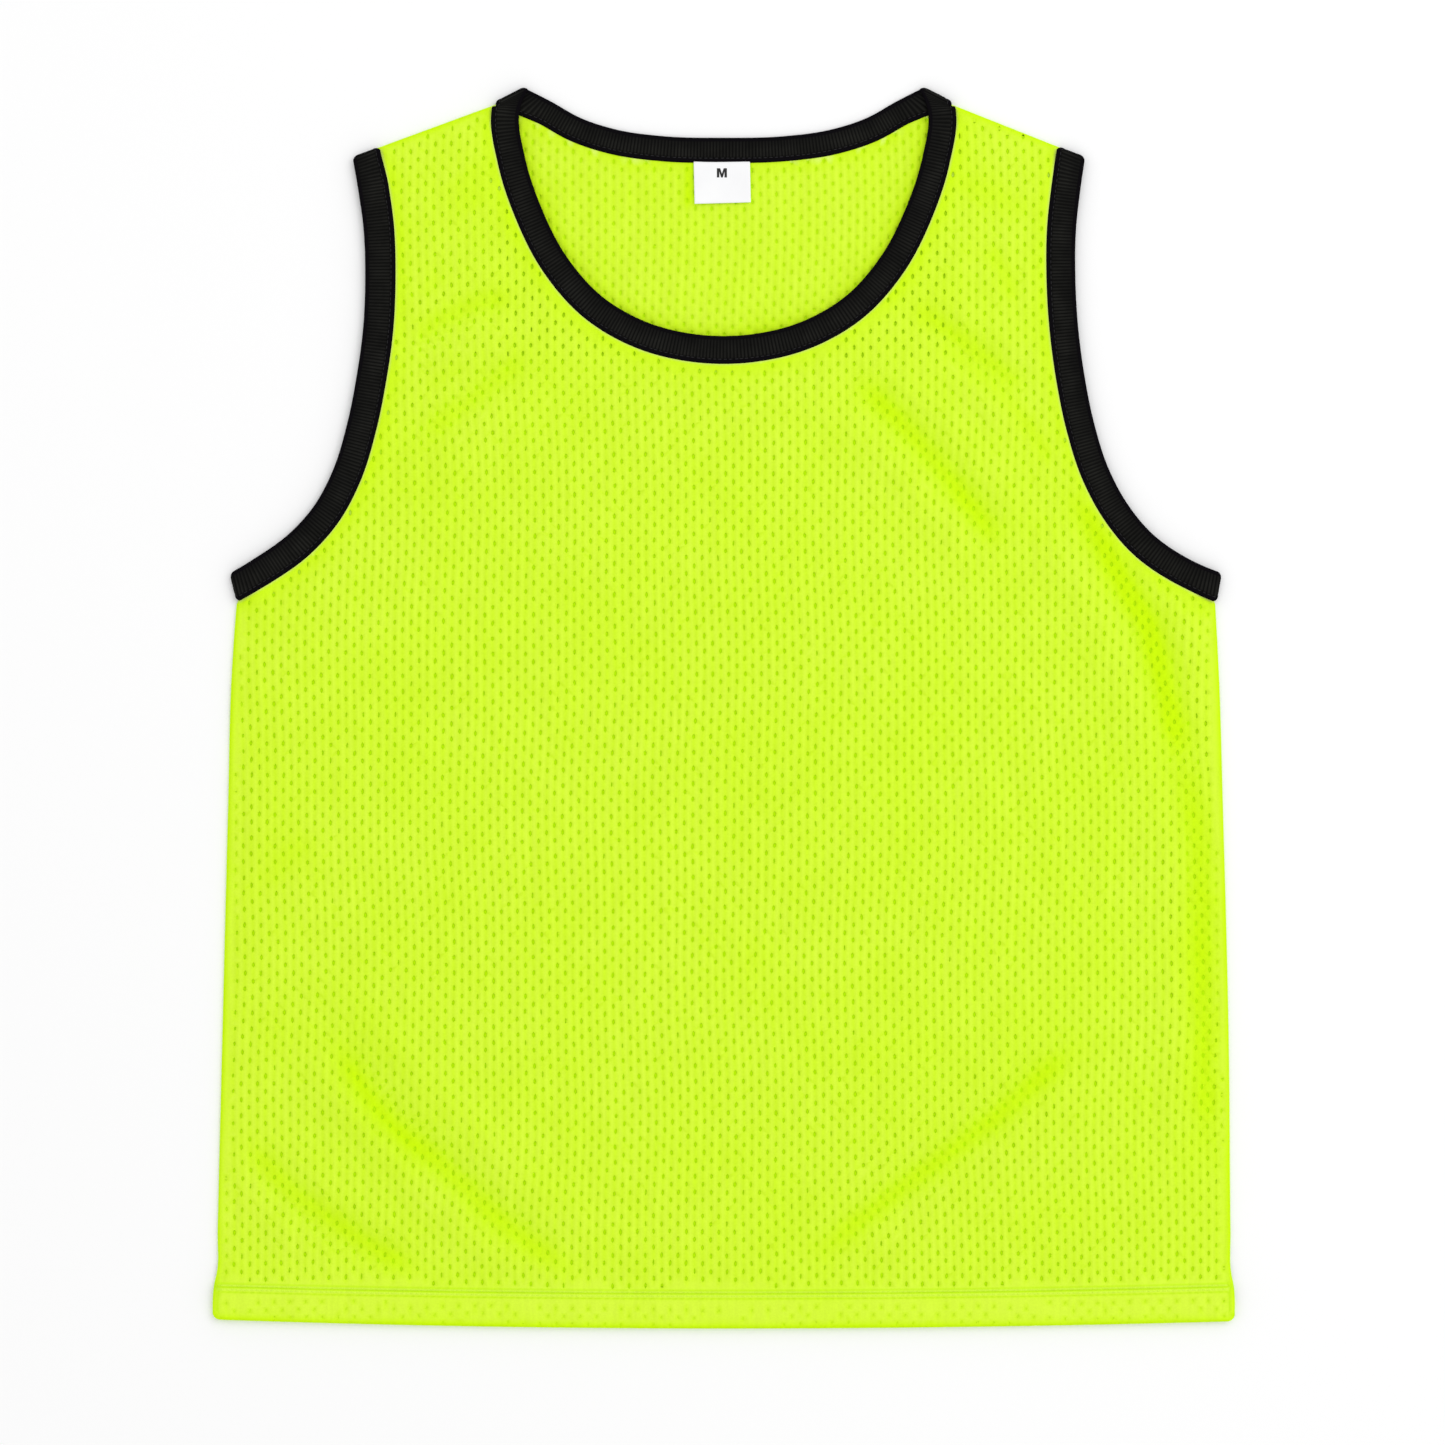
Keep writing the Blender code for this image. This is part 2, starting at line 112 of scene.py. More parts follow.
def nearLine(points, line):
    # how far each point is from a line, how far to its left, and its place along it
    start, run = line[:-1], np.diff(line, axis=0)
    length = (run * run).sum(1)
    reach = travelled(line)
    away, left, place = [], [], []
    for first in range(0, len(points), 4000):
        gap = points[first : first + 4000, None] - start
        share = np.clip((gap * run).sum(2) / length, 0, 1)
        off = gap - share[..., None] * run
        far = np.linalg.norm(off, axis=2)
        best = far.argmin(axis=1)
        row = np.arange(len(best))
        side = run[best, 0] * gap[row, best, 1] - run[best, 1] * gap[row, best, 0]
        away.append(far[row, best])
        left.append(side / np.sqrt(length[best]))
        place.append((reach[best] + share[row, best] * np.sqrt(length[best])) / reach[-1])
    return np.concatenate(away), np.concatenate(left), np.concatenate(place)


def inside(points, outline):
    start, end = outline, np.roll(outline, -1, axis=0)
    found = []
    for first in range(0, len(points), 4000):
        x, y = points[first : first + 4000, :1], points[first : first + 4000, 1:]
        spans = (start[:, 1] > y) != (end[:, 1] > y)
        rise = np.where(end[:, 1] == start[:, 1], 1e-9, end[:, 1] - start[:, 1])
        crossing = start[:, 0] + (y - start[:, 1]) * (end[:, 0] - start[:, 0]) / rise
        found.append((spans & (x < crossing)).sum(axis=1) % 2 == 1)
    return np.concatenate(found)


def gridFaces(grid):
    corners = [grid[:-1, :-1], grid[:-1, 1:], grid[1:, 1:], grid[1:, :-1]]
    return np.stack(corners, axis=2).reshape(-1, 4)


def squareOf(points):  # the bib's own plan, 520 by 640 mm, as texture places
    return (points[:, :2] + (260.0, 320.0)) / (520.0, 640.0)


def addMesh(name, points, faceSets, material, values=None, uvSets=None):
    # faceSets are arrays of faces with equally many corners; uvSets has a place for each corner
    mesh = bpy.data.meshes.new(name)
    points = np.asarray(points, float) * mm
    sizes = np.concatenate([np.full(len(faces), faces.shape[1]) for faces in faceSets])
    corners = np.concatenate([faces.ravel() for faces in faceSets]).astype(np.int32)
    mesh.vertices.add(len(points))
    mesh.vertices.foreach_set("co", points.ravel())
    mesh.loops.add(len(corners))
    mesh.loops.foreach_set("vertex_index", corners)
    mesh.polygons.add(len(sizes))
    mesh.polygons.foreach_set("loop_start", np.concatenate([[0], np.cumsum(sizes)[:-1]]))
    mesh.update(calc_edges=True)
    mesh.validate()
    mesh.shade_smooth()
    for label, numbers in (values or {}).items():
        layer = mesh.attributes.new(label, "FLOAT", "POINT")
        layer.data.foreach_set("value", np.asarray(numbers, np.float32))
    if uvSets is not None:
        layer = mesh.uv_layers.new(name="OFBake")
        flat = np.concatenate([places.reshape(-1) for places in uvSets])
        layer.data.foreach_set("uv", flat.astype(np.float32))
    mesh.materials.append(material)
    piece = bpy.data.objects.new(name, mesh)
    bpy.context.scene.collection.objects.link(piece)
    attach(piece, "root")
    print(name, len(points), "points,", int((sizes - 2).sum()), "triangles")
    return piece


# Materials
def linear(code):  # sRGB hex to linear colour
    parts = [int(code[i : i + 2], 16) / 255 for i in (0, 2, 4)]
    return (*[p / 12.92 if p <= 0.04045 else ((p + 0.055) / 1.055) ** 2.4 for p in parts], 1.0)


def addNode(material, kind, inputs=None, **settings):
    node = material.node_tree.nodes.new("ShaderNode" + kind)
    for key, value in settings.items():
        setattr(node, key, value)
    for key, value in (inputs or {}).items():
        if isinstance(value, bpy.types.NodeSocket):
            material.node_tree.links.new(value, node.inputs[key])
        else:
            node.inputs[key].default_value = value
    return node


def newMaterial(name):
    material = bpy.data.materials.new(name)
    material.use_nodes = True
    material.node_tree.nodes.clear()
    return material


def finishMaterial(material, inputs):
    shader = addNode(material, "BsdfPrincipled", inputs)
    addNode(material, "OutputMaterial", {"Surface": shader.outputs["BSDF"]})
    return material


def cells(size):  # a noise's scale from the size of its cells in mm
    return 1 / (size * mm)


def bands(size):  # a wave's scale from its spacing in mm
    return 2 * math.pi / 20 / (size * mm)


neon = {
    "open": "d9fa41",  # light ribs between the eyelet columns
    "column": "d1f72e",  # the columns themselves, a little deeper
    "creaseShade": "ccf808",  # painted shade: down in a fold, where the cloth lights itself with bounced light, it turns more yellow-green
    "inside": "bcee02",  # painted shade: the deeper yellow-green of an eyelet's lips and of the shaded layer seen through it, also in sewn grooves
    "rim": "e9ff86",  # painted highlight: the thin bright line where the cloth turns down under a binding, and on the hem's ridges
    "rough": 0.8,
    "wale": 1.35,  # real wales are 0.5 mm; three to a column are coarse enough to show
    "course": 1.1,
    "cloud": 16.67,  # uneven dye, and wider random patches of the deeper fold colour
    "lain": 66.7,
    "grain": 1.11,  # fibre grain, drawn coarse enough to show, and upright streaks of it
    "streak": 2.38,
    "streakDrawn": 0.09,
}


def eyeletKnit():
    # Knitted polyester eyelet mesh, fluorescent dyed: chalky and bright, with fine upright wales
    m = newMaterial("eyelet_mesh_fluorescent_polyester_knit")
    place = addNode(m, "TexCoord").outputs["Object"]
    column = addNode(m, "Attribute", attribute_name="column").outputs["Fac"]
    creaseShade = addNode(m, "Attribute", attribute_name="creaseShade").outputs["Fac"]
    # painted shade in eyelets, sewn grooves and where the back's upper face lies under the front
    deep = addNode(m, "Attribute", attribute_name="deep").outputs["Fac"]
    rim = addNode(m, "Attribute", attribute_name="rim").outputs["Fac"]
    cloud = addNode(
        m, "TexNoise", {"Vector": place, "Scale": cells(neon["cloud"]), "Detail": 3.0}
    ).outputs["Fac"]
    grain = addNode(
        m, "TexNoise", {"Vector": place, "Scale": cells(neon["grain"]), "Detail": 2.0}
    ).outputs["Fac"]
    uneven = addNode(
        m,
        "MapRange",
        {"Value": cloud, "From Min": 0.3, "From Max": 0.7, "To Min": -0.12, "To Max": 0.18},
    ).outputs["Result"]
    share = addNode(m, "Math", {0: column, 1: uneven}, operation="ADD", use_clamp=True)
    wide = addNode(
        m, "TexNoise", {"Vector": place, "Scale": cells(neon["lain"]), "Detail": 4.0}
    ).outputs["Fac"]
    lain = addNode(
        m,
        "MapRange",
        {"Value": wide, "From Min": 0.4, "From Max": 0.75, "To Min": 0.0, "To Max": 0.3},
    ).outputs["Result"]
    creased = addNode(m, "Math", {0: creaseShade, 1: lain}, operation="ADD", use_clamp=True).outputs[0]
    body = addNode(
        m,
        "Mix",
        {0: share.outputs[0], 6: linear(neon["open"]), 7: linear(neon["column"])},
        data_type="RGBA",
    )
    # painted shade: in folds, beside seams and in the hem's grooves the colour turns deeper
    # yellow-green
    folded = addNode(
        m, "Mix", {0: creased, 6: body.outputs[2], 7: linear(neon["creaseShade"])}, data_type="RGBA"
    )
    # painted shade in the eyelets, in the sewn grooves and under the front
    sunk = addNode(
        m, "Mix", {0: deep, 6: folded.outputs[2], 7: linear(neon["inside"])}, data_type="RGBA"
    )
    # painted highlight beside the bindings and on the hem's ridges
    highlighted = addNode(
        m, "Mix", {0: rim, 6: sunk.outputs[2], 7: linear(neon["rim"])}, data_type="RGBA"
    )
    stretch = (1.0, neon["streakDrawn"], 1.0)
    drawn = addNode(m, "VectorMath", {0: place, 1: stretch}, operation="MULTIPLY")
    streak = addNode(
        m,
        "TexNoise",
        {"Vector": drawn.outputs[0], "Scale": cells(neon["streak"]), "Detail": 2.0},
    ).outputs["Fac"]
    both = addNode(m, "Math", {0: grain, 1: streak}, operation="ADD").outputs[0]
    speck = addNode(
        m,
        "MapRange",
        {"Value": both, "From Min": 0.7, "From Max": 1.3, "To Min": 0.955, "To Max": 1.03},
    ).outputs["Result"]
    speckled = addNode(
        m, "VectorMath", {0: highlighted.outputs[2], 1: speck}, operation="MULTIPLY"
    ).outputs[0]
    wales = addNode(
        m,
        "TexWave",
        {"Vector": place, "Scale": bands(neon["wale"]), "Distortion": 0.6, "Detail": 1.0},
        bands_direction="X",
    ).outputs["Fac"]
    courses = addNode(
        m,
        "TexWave",
        {"Vector": place, "Scale": bands(neon["course"]), "Distortion": 0.8},
        bands_direction="Y",
    ).outputs["Fac"]
    knit = addNode(m, "Math", {0: wales, 1: courses}, operation="MULTIPLY").outputs[0]
    bump = addNode(m, "Bump", {"Strength": 0.35, "Distance": 0.00012, "Height": knit})
    return finishMaterial(
        m,
        {
            "Base Color": speckled,
            "Roughness": neon["rough"],
            "Specular IOR Level": 0.06,
            "Normal": bump.outputs["Normal"],
        },
    )


black = {
    # painted shade and highlight: crests lighter, grooves darker, and the turned edges darker
    # still, with a faint purple tint
    "crest": "232320",
    "groove": "020202",
    "lip": "070509",
    "rough": 0.85,
    "lint": 0.714,
    "cloud": 9.09,
}


def ribKnit():
    # 1x1 rib knit strip, black cotton and polyester: matt, with lint that catches the light
    m = newMaterial("rib_knit_black_cotton_polyester")
    place = addNode(m, "TexCoord").outputs["Object"]
    rib = addNode(m, "Attribute", attribute_name="rib").outputs["Fac"]
    lip = addNode(m, "Attribute", attribute_name="lip").outputs["Fac"]
    lint = addNode(
        m, "TexNoise", {"Vector": place, "Scale": cells(black["lint"]), "Detail": 3.0}
    ).outputs["Fac"]
    cloud = addNode(
        m, "TexNoise", {"Vector": place, "Scale": cells(black["cloud"]), "Detail": 2.0}
    ).outputs["Fac"]
    tone = addNode(
        m,
        "MapRange",
        {"Value": cloud, "From Min": 0.3, "From Max": 0.7, "To Min": 0.6, "To Max": 1.1},
    ).outputs["Result"]
    share = addNode(m, "Math", {0: rib, 1: tone}, operation="MULTIPLY", use_clamp=True).outputs[0]
    # painted shade in the ribs' grooves, lighter on the crests
    face = addNode(
        m,
        "Mix",
        {0: share, 6: linear(black["groove"]), 7: linear(black["crest"])},
        data_type="RGBA",
    )
    # painted shade along the strip's turned edges
    whole = addNode(
        m, "Mix", {0: lip, 6: face.outputs[2], 7: linear(black["lip"])}, data_type="RGBA"
    )
    bump = addNode(m, "Bump", {"Strength": 0.4, "Distance": 0.0001, "Height": lint})
    return finishMaterial(
        m,
        {
            "Base Color": whole.outputs[2],
            "Roughness": black["rough"],
            "Specular IOR Level": 0.06,
            "Normal": bump.outputs["Normal"],
        },
    )


satin = {"face": "fafafa", "shade": "f0f0f2", "rough": 0.42, "pick": 0.55, "cloud": 14.3}


def satinWeave():
    # White satin-woven polyester ribbon, cut hot: smooth with a soft gleam across the picks
    m = newMaterial("satin_ribbon_white_polyester_woven")
    place = addNode(m, "TexCoord").outputs["Object"]
    cloud = addNode(
        m, "TexNoise", {"Vector": place, "Scale": cells(satin["cloud"]), "Detail": 2.0}
    ).outputs["Fac"]
    tone = addNode(
        m, "Mix", {0: cloud, 6: linear(satin["face"]), 7: linear(satin["shade"])}, data_type="RGBA"
    )
    picks = addNode(
        m,
        "TexWave",
        {"Vector": place, "Scale": bands(satin["pick"]), "Distortion": 0.4},
        bands_direction="Y",
    ).outputs["Fac"]
    bump = addNode(m, "Bump", {"Strength": 0.2, "Distance": 0.00005, "Height": picks})
    rough = addNode(
        m,
        "MapRange",
        {"Value": picks, "To Min": satin["rough"] - 0.06, "To Max": satin["rough"] + 0.08},
    ).outputs["Result"]
    return finishMaterial(
        m,
        {
            "Base Color": tone.outputs[2],
            "Roughness": rough,
            "Specular IOR Level": 0.4,
            "Sheen Weight": 0.1,
            "Normal": bump.outputs["Normal"],
        },
    )


def spunThread(name, dark, light, pitch):
    # Spun polyester sewing thread: its twist shows as fine slanted bands
    m = newMaterial(name)
    place = addNode(m, "TexCoord").outputs["Object"]
    twist = addNode(
        m,
        "TexWave",
        {"Vector": place, "Scale": bands(pitch), "Distortion": 1.5},
        bands_direction="DIAGONAL",
    ).outputs["Fac"]
    tone = addNode(m, "Mix", {0: twist, 6: linear(dark), 7: linear(light)}, data_type="RGBA")
    bump = addNode(m, "Bump", {"Strength": 0.3, "Distance": 0.00006, "Height": twist})
    return finishMaterial(
        m,
        {
            "Base Color": tone.outputs[2],
            "Roughness": 0.6,
            "Specular IOR Level": 0.3,
            "Normal": bump.outputs["Normal"],
        },
    )


ink = {"thick": "050505", "thin": "161617", "speck": 0.4}


def printedInk():
    # Screen-printed black ink on satin: slightly glossier than the ribbon, thinner in random specks
    m = newMaterial("screen_print_ink_black")
    place = addNode(m, "TexCoord").outputs["Object"]
    speck = addNode(m, "TexNoise", {"Vector": place, "Scale": cells(ink["speck"])}).outputs["Fac"]
    tone = addNode(
        m, "Mix", {0: speck, 6: linear(ink["thick"]), 7: linear(ink["thin"])}, data_type="RGBA"
    )
    return finishMaterial(
        m, {"Base Color": tone.outputs[2], "Roughness": 0.5, "Specular IOR Level": 0.4}
    )


neonMesh = eyeletKnit()
blackRib = ribKnit()
whiteSatin = satinWeave()
neonThread = spunThread("sewing_thread_fluorescent_spun_polyester", "cdf62c", "dcfb4c", 0.5)
blackThread = spunThread("sewing_thread_black_spun_polyester", "0a0a0a", "1d1b20", 0.5)
print("materials made")


# The bib's cut, as its frame has it
cut = {
    "neckFront": [  # half free edge: out from the middle, and up
        (98.8, 310.9),
        (101.8, 298.0),
        (99.2, 275.0),
        (91.5, 251.0),
        (78.5, 225.5),
        (60.5, 205.3),
        (38.0, 192.5),
        (14.0, 186.6),
    ],
    "neckFrontMiddle": 185.7,
    "neckBack": [(98.8, 310.9), (87.0, 303.5), (71.0, 294.7), (54.0, 289.2), (30.0, 285.8)],
    "neckBackMiddle": 285.0,
    "armhole": [  # free edge: up, left, right
        (275.3, -185.8, 181.0),
        (258.0, -182.4, 178.0),
        (240.0, -179.9, 176.0),
        (215.0, -179.0, 175.6),
        (190.0, -180.0, 177.0),
        (165.0, -183.4, 180.3),
        (142.0, -188.0, 185.0),
        (119.0, -195.0, 192.4),
        (101.0, -204.5, 202.2),
        (87.0, -217.0, 214.0),
        (75.0, -233.7, 231.2),
        (67.7, -247.0, 249.0),
    ],
    "sides": [  # side seams: up, left, right
        (52.0, -243.4, 245.6),
        (14.0, -246.0, 247.6),
        (-46.0, -247.6, 249.4),
        (-166.0, -250.6, 252.4),
        (-262.0, -252.9, 253.3),
        (-282.5, -253.3, 253.6),
        (-287.5, -254.5, 254.6),
        (-294.5, -255.1, 255.2),
        (-300.6, -255.3, 255.3),
    ],
    "neckWidths": (14.0, 12.6),  # front strip, back strip
    "armWidths": {1: (15.5, 14.6), 2: (14.7, 14.0)},  # left and right, tip to underarm
    "neckFold": (-15.9, -8.0),
    "tipFolds": {1: (13.6, 5.2), 2: (-14.0, 5.5)},
    "underarmFolds": {1: (3.5, -14.6), 2: (-2.5, -14.8)},
    "foldBlend": 15.0,
    "foldReach": 2.15,
    "seamReach": (1.85, 0.5),  # how far a shoulder seam lies up beside an arm's and the neck's fold
    "hemLow": -309.8,
    "hemBows": (4.5, 3.6),  # how far the lower edge rises to its left and right end
    "hemCorner": 4.0,
    "hemTop": -290.8,  # lowest place of the hem's top edge, and how far its ends rise
    "hemRise": 3.6,
}


def strip(rows, widths, startFold, endFold, side, step):
    # its free edge, and at each point of it the way over to the sewn one
    rows = [np.array(row, float) for row in rows]
    for end, fold, inward in ((0, startFold, 1), (-1, endFold, -2)):
        across = unit((-fold[1], fold[0]))
        if across @ (rows[inward] - rows[end]) < 0:
            across = -across
        rows[end] = rows[end] + across * cut["foldReach"]
    free = smoothLine(rows, step)
    travel = unit(np.gradient(free, axis=0))
    reach = travelled(free)
    width = np.interp(reach, (0, reach[-1]), widths)[:, None]
    over = np.stack([-travel[:, 1], travel[:, 0]], axis=1) * side * width
    for distance, fold in ((reach, startFold), (reach[-1] - reach, endFold)):
        share = 1 - smoothStep(distance / cut["foldBlend"])[:, None]
        over = over * (1 - share) + np.array(fold) * share
    return free, over


def armStrip(column, step):
    rows = [(row[column], row[0]) for row in cut["armhole"]]
    folds = cut["tipFolds"][column], cut["underarmFolds"][column]
    return strip(rows, cut["armWidths"][column], *folds, 1 if column == 1 else -1, step)


def neckStrip(half, middle, width, step):
    rows = [(-x, y) for x, y in half] + [(0.0, middle)] + half[::-1]
    fold = cut["neckFold"]
    return strip(rows, (width, width), fold, (-fold[0], fold[1]), -1, step)


def allStrips(step):
    return {
        "left": armStrip(1, step),
        "right": armStrip(2, step),
        "front": neckStrip(cut["neckFront"], cut["neckFrontMiddle"], cut["neckWidths"][0], step),
        "back": neckStrip(cut["neckBack"], cut["neckBackMiddle"], cut["neckWidths"][1], step),
    }


def sewnEdge(edge, gap):
    free, over = edge
    return free + over + unit(over) * gap


def sideLine(column, step):
    return smoothLine([(row[column], row[0]) for row in cut["sides"]], step)


def hemBottom(step):
    half = cut["sides"][-1][2]
    corner = cut["hemCorner"]
    across = np.linspace(-half + corner, half - corner, round(2 * half / step))
    bow = np.where(across < 0, *cut["hemBows"])
    line = np.stack([across, cut["hemLow"] + bow * (across / half) ** 2], axis=1)
    turns = []
    for angle in np.radians((15, 35, 55, 75)):
        turns.append((half - corner + corner * math.cos(angle), corner - corner * math.sin(angle)))
    turns = np.array(turns)
    left, right = turns * (-1, 1) + (0, line[0, 1]), turns + (0, line[-1, 1])
    return np.concatenate([left, line, right[::-1]])


def hemEdge(x):  # height of the hem's top edge
    return cut["hemTop"] + cut["hemRise"] * (x / 255.0) ** 2


def belowHem(points):  # how far each point lies below the hem's top edge
    return hemEdge(points[:, 0]) - points[:, 1]


edges = allStrips(4.0)
sides = {1: sideLine(1, 3.0), 2: sideLine(2, 3.0)}
tuck = -1.2  # how far the mesh runs in under a binding
coarse = allStrips(9.0)
bounds = {key: sewnEdge(edge, 0) for key, edge in coarse.items()}
sideSeams = [sideLine(1, 12.0), sideLine(2, 12.0)]


def seamEnd(line, fold, end, reach):  # where a sewn edge meets its strip's fold, beyond one end
    across = unit((-fold[1], fold[0]))
    if across @ (line[end] - line[1 if end == 0 else -2]) < 0:
        across = -across
    return line[end] + across * reach


def shoulderSeams(leftArm, rightArm, neck):
    fold, (armReach, neckReach) = cut["neckFold"], cut["seamReach"]
    leftTip = seamEnd(leftArm, cut["tipFolds"][1], 0, armReach)
    rightTip = seamEnd(rightArm, cut["tipFolds"][2], 0, armReach)
    leftNeck = seamEnd(neck, fold, 0, neckReach)
    rightNeck = seamEnd(neck, (-fold[0], fold[1]), -1, neckReach)
    return {1: np.stack([leftTip, leftNeck]), 2: np.stack([rightTip, rightNeck])}


def panelOutline(neckKey, inset=0.0, gap=tuck):  # anticlockwise from the lower left corner
    leftArm = sewnEdge(edges["left"], gap)
    rightArm = sewnEdge(edges["right"], gap)
    neck = sewnEdge(edges[neckKey], gap)
    ends = shoulderSeams(leftArm, rightArm, neck)
    bottom = hemBottom(3.0)
    bottom[:, 0] *= 1 - inset / 255.0
    down = np.array((0.0, -inset))

    def seam(start, end):
        share = np.linspace(0, 1, 26)[:, None]
        return start + (end - start) * share + down

    return np.concatenate(
        [
            bottom,
            sides[2][::-1] - (inset, 0),
            rightArm[::-1],
            seam(*ends[2]),
            neck[::-1],
            seam(*ends[1][::-1]),
            leftArm,
            sides[1] + (inset, 0),
        ]
    )


shoulders = shoulderSeams(*[sewnEdge(edges[key], tuck) for key in ("left", "right", "front")])
shoulderLines = [shoulders[1], shoulders[2]]
hemFold = hemBottom(3.0)
allSeams = sideSeams + shoulderLines
frontBounds = [bounds[key] for key in ("left", "right", "front")]
backBounds = [bounds[key] for key in ("left", "right", "back")]


# How the front lies: the frame's large folds, and the finer creases seen between them
lay = {
    "loft": 1.5,  # air between back and front, and how far it sways
    "wave": 0.5,
    "pinch": 14.0,  # how far from a seam the air comes in
    "cloth": 1.0,
    "gap": 0.3,
    "hem": 4.25,  # height of the hem band's upper face
    "hemRipple": [(0.12, 11.0, 0.8), (0.08, 5.7, 0.0)],
    "hemBlend": 1.4,
    "seam": 1.15,  # height at which front and back meet, and the same in the hem
    "hemSeam": 2.15,
    "frontFold": 3.3,  # height of the front hem's lower fold
    "roll": 1.9,
    "coverFrom": 6.0,  # how far under the front the back's upper face begins to follow it
    "coverBlend": 7.0,
}
foldShape = {
    "troughNarrow": 1.6,
    "ridgePlace": 1.8,  # half widths from the middle
    "ridgeNarrow": 1.3,
    "fade": (4, 0.15),  # how soon it fades in at each end, and how strong it is there
    "toneFade": (5, 0.2),
}
folds = [
    # start, middle, end (across, up), half width, depth, ridge
    ((60, 169), (103, 126), (143, 78), 10, 1.3, 1.7),
    ((92, 197), (132, 172), (160, 152), 9, 1.0, 1.2),
    ((172, 108), (215, 25), (235, -55), 12, 1.4, 2.0),
    ((233, -40), (240, -130), (242, -235), 9, 1.2, 1.3),
    ((-159, 174), (-138, 190), (-102, 203), 9, 0.8, 1.0),
    ((-160, 129), (-133, 150), (-98, 177), 10, 0.9, 1.2),
    ((-199, -152), (-149, -216), (-72, -279), 11, 1.3, 1.8),
    ((-236, -216), (-205, -254), (-152, -281), 9, 1.0, 1.2),
    ((43, -271), (100, -230), (178, -162), 11, 1.2, 1.5),
]
creases = [
    # half width, depth, strength of its painted shade, then the places it runs through
    (8.0, 0.6, 1.00, [(172, 115), (197, 67), (211, 42), (221, 6), (230, -30)]),
    (9.0, 0.5, 0.80, [(226, -20), (237, -67), (238, -110), (239, -154), (242, -226)]),
    (6.5, 0.5, 0.80, [(66, 165), (103, 126), (139, 78)]),
    (5.5, 0.4, 0.65, [(92, 202), (126, 178), (150, 158)]),
    (5.0, 0.3, 0.45, [(104, 183), (133, 163), (152, 141)]),
    (4.5, 0.3, 0.50, [(146, 147), (156, 135), (164, 122)]),
    (4.5, 0.4, 0.60, [(132, 231), (140, 217), (146, 202)]),
    (8.0, 0.2, 0.40, [(110, 263), (130, 258), (153, 245)]),
    (16.0, 0.2, 0.45, [(-132, 268), (-126, 260), (-119, 250)]),
    (5.5, 0.5, 0.60, [(-155, 183), (-122, 202), (-104, 204)]),
    (5.5, 0.5, 0.55, [(-151, 136), (-115, 162), (-97, 176)]),
    (4.0, 0.3, 0.35, [(-148, 158), (-138, 166), (-129, 173)]),
    (4.0, 0.3, 0.35, [(-151, 205), (-146, 211), (-140, 216)]),
    (
        6.5,
        0.6,
        0.80,
        [(-196, -161), (-187, -179), (-166, -208), (-144, -226), (-108, -259), (-68, -286)],
    ),
    (6.0, 0.5, 0.75, [(-238, -215), (-216, -241), (-191, -259), (-151, -283)]),
    (6.5, 0.5, 0.80, [(43, -276), (81, -246), (134, -206), (179, -165)]),
    (6.0, 0.3, 0.35, [(-231, -88), (-218, -75), (-205, -63)]),
    (9.0, 0.3, 0.40, [(-226, 60), (-208, 84), (-190, 108)]),
    (4.0, 0.4, 0.50, [(228, 53), (236, 50), (244, 47)]),
]
backCreases = [
    # the same for the underside, where they lift off the surface a little
    (9.0, 0.5, 0.55, [(-170, 140), (-120, 95), (-70, 60)]),
    (8.0, 0.5, 0.60, [(214, 40), (228, -40), (232, -130)]),
    (10.0, 0.4, 0.45, [(-225, -120), (-180, -190), (-110, -250)]),
    (8.0, 0.5, 0.50, [(60, -268), (120, -228), (190, -190)]),
    (7.0, 0.4, 0.40, [(120, 230), (150, 190), (158, 140)]),
    (9.0, 0.3, 0.35, [(-30, 120), (20, 60), (60, -20)]),
]


def troughAndRidges(points, path, half, deep, ridge):
    away, left, place = nearLine(points, smoothLine(path, 6.0, 30))
    beyond = np.sqrt(np.maximum(away**2 - left**2, 0))
    across = np.abs(left) / half
    trough = -deep * np.exp(-(across**2) * foldShape["troughNarrow"])
    sides = ridge * np.exp(-((across - foldShape["ridgePlace"]) ** 2) * foldShape["ridgeNarrow"])
    return (trough + sides) * fadedEnds(place, *foldShape["fade"]) * bell(beyond, half)


# painted shade along each crease
def creaseTone(points, table):
    tone = np.zeros(len(points))
    for half, _, strength, path in table:
        away, _, place = nearLine(points, smoothLine(path, 5.0, 30))
        fade = fadedEnds(place, *foldShape["toneFade"])
        tone = np.maximum(tone, strength * bell(away, half) * fade)
    return tone


def hemShare(points):
    return smoothStep(belowHem(points) / lay["hemBlend"] + 0.5)


def edgeDistance(points, lines):
    return np.min([nearLine(points, line)[0] for line in lines], axis=0)


def rounded(distance, radius):  # 0 on the edge, rising round a quarter circle to 1
    return np.sqrt(np.clip(1 - (1 - np.clip(distance / radius, 0, 1)) ** 2, 0, 1))


hemSewing = {
    # how far below the hem's top edge each groove or ridge lies, its half width and height
    "lines": [(0.0, 0.45, -0.22), (0.8, 0.35, 0.10), (1.6, 0.4, -0.34), (2.7, 0.6, 0.12)],
    "dips": (4.1, 0.5, -0.34),  # the lower row's needle dips, and how they lie along it
    "dipPitch": 3.1,
    "dipWander": [(1.0, 9.3, 0.0), (0.6, 4.1, 2.0)],
    # lines of painted shade in the grooves and painted highlight on the ridges: how far down, and
    # how strong
    "creaseShade": [(0.0, 0.4), (1.6, 0.65), (4.1, 0.5)],
    "dark": [(0.0, 0.45), (1.6, 0.8)],
    "light": [(0.8, 0.15), (2.7, 0.18)],
    "rows": (-1.0, 0.0, 0.8, 1.6, 2.1, 2.7, 3.4, 4.1, 4.8, 5.6),  # rows of points that carry it
    "rowStep": 1.7,
    "seamIn": 2.7,  # the side seam's line beside each edge
    "seamDeep": 0.28,
}


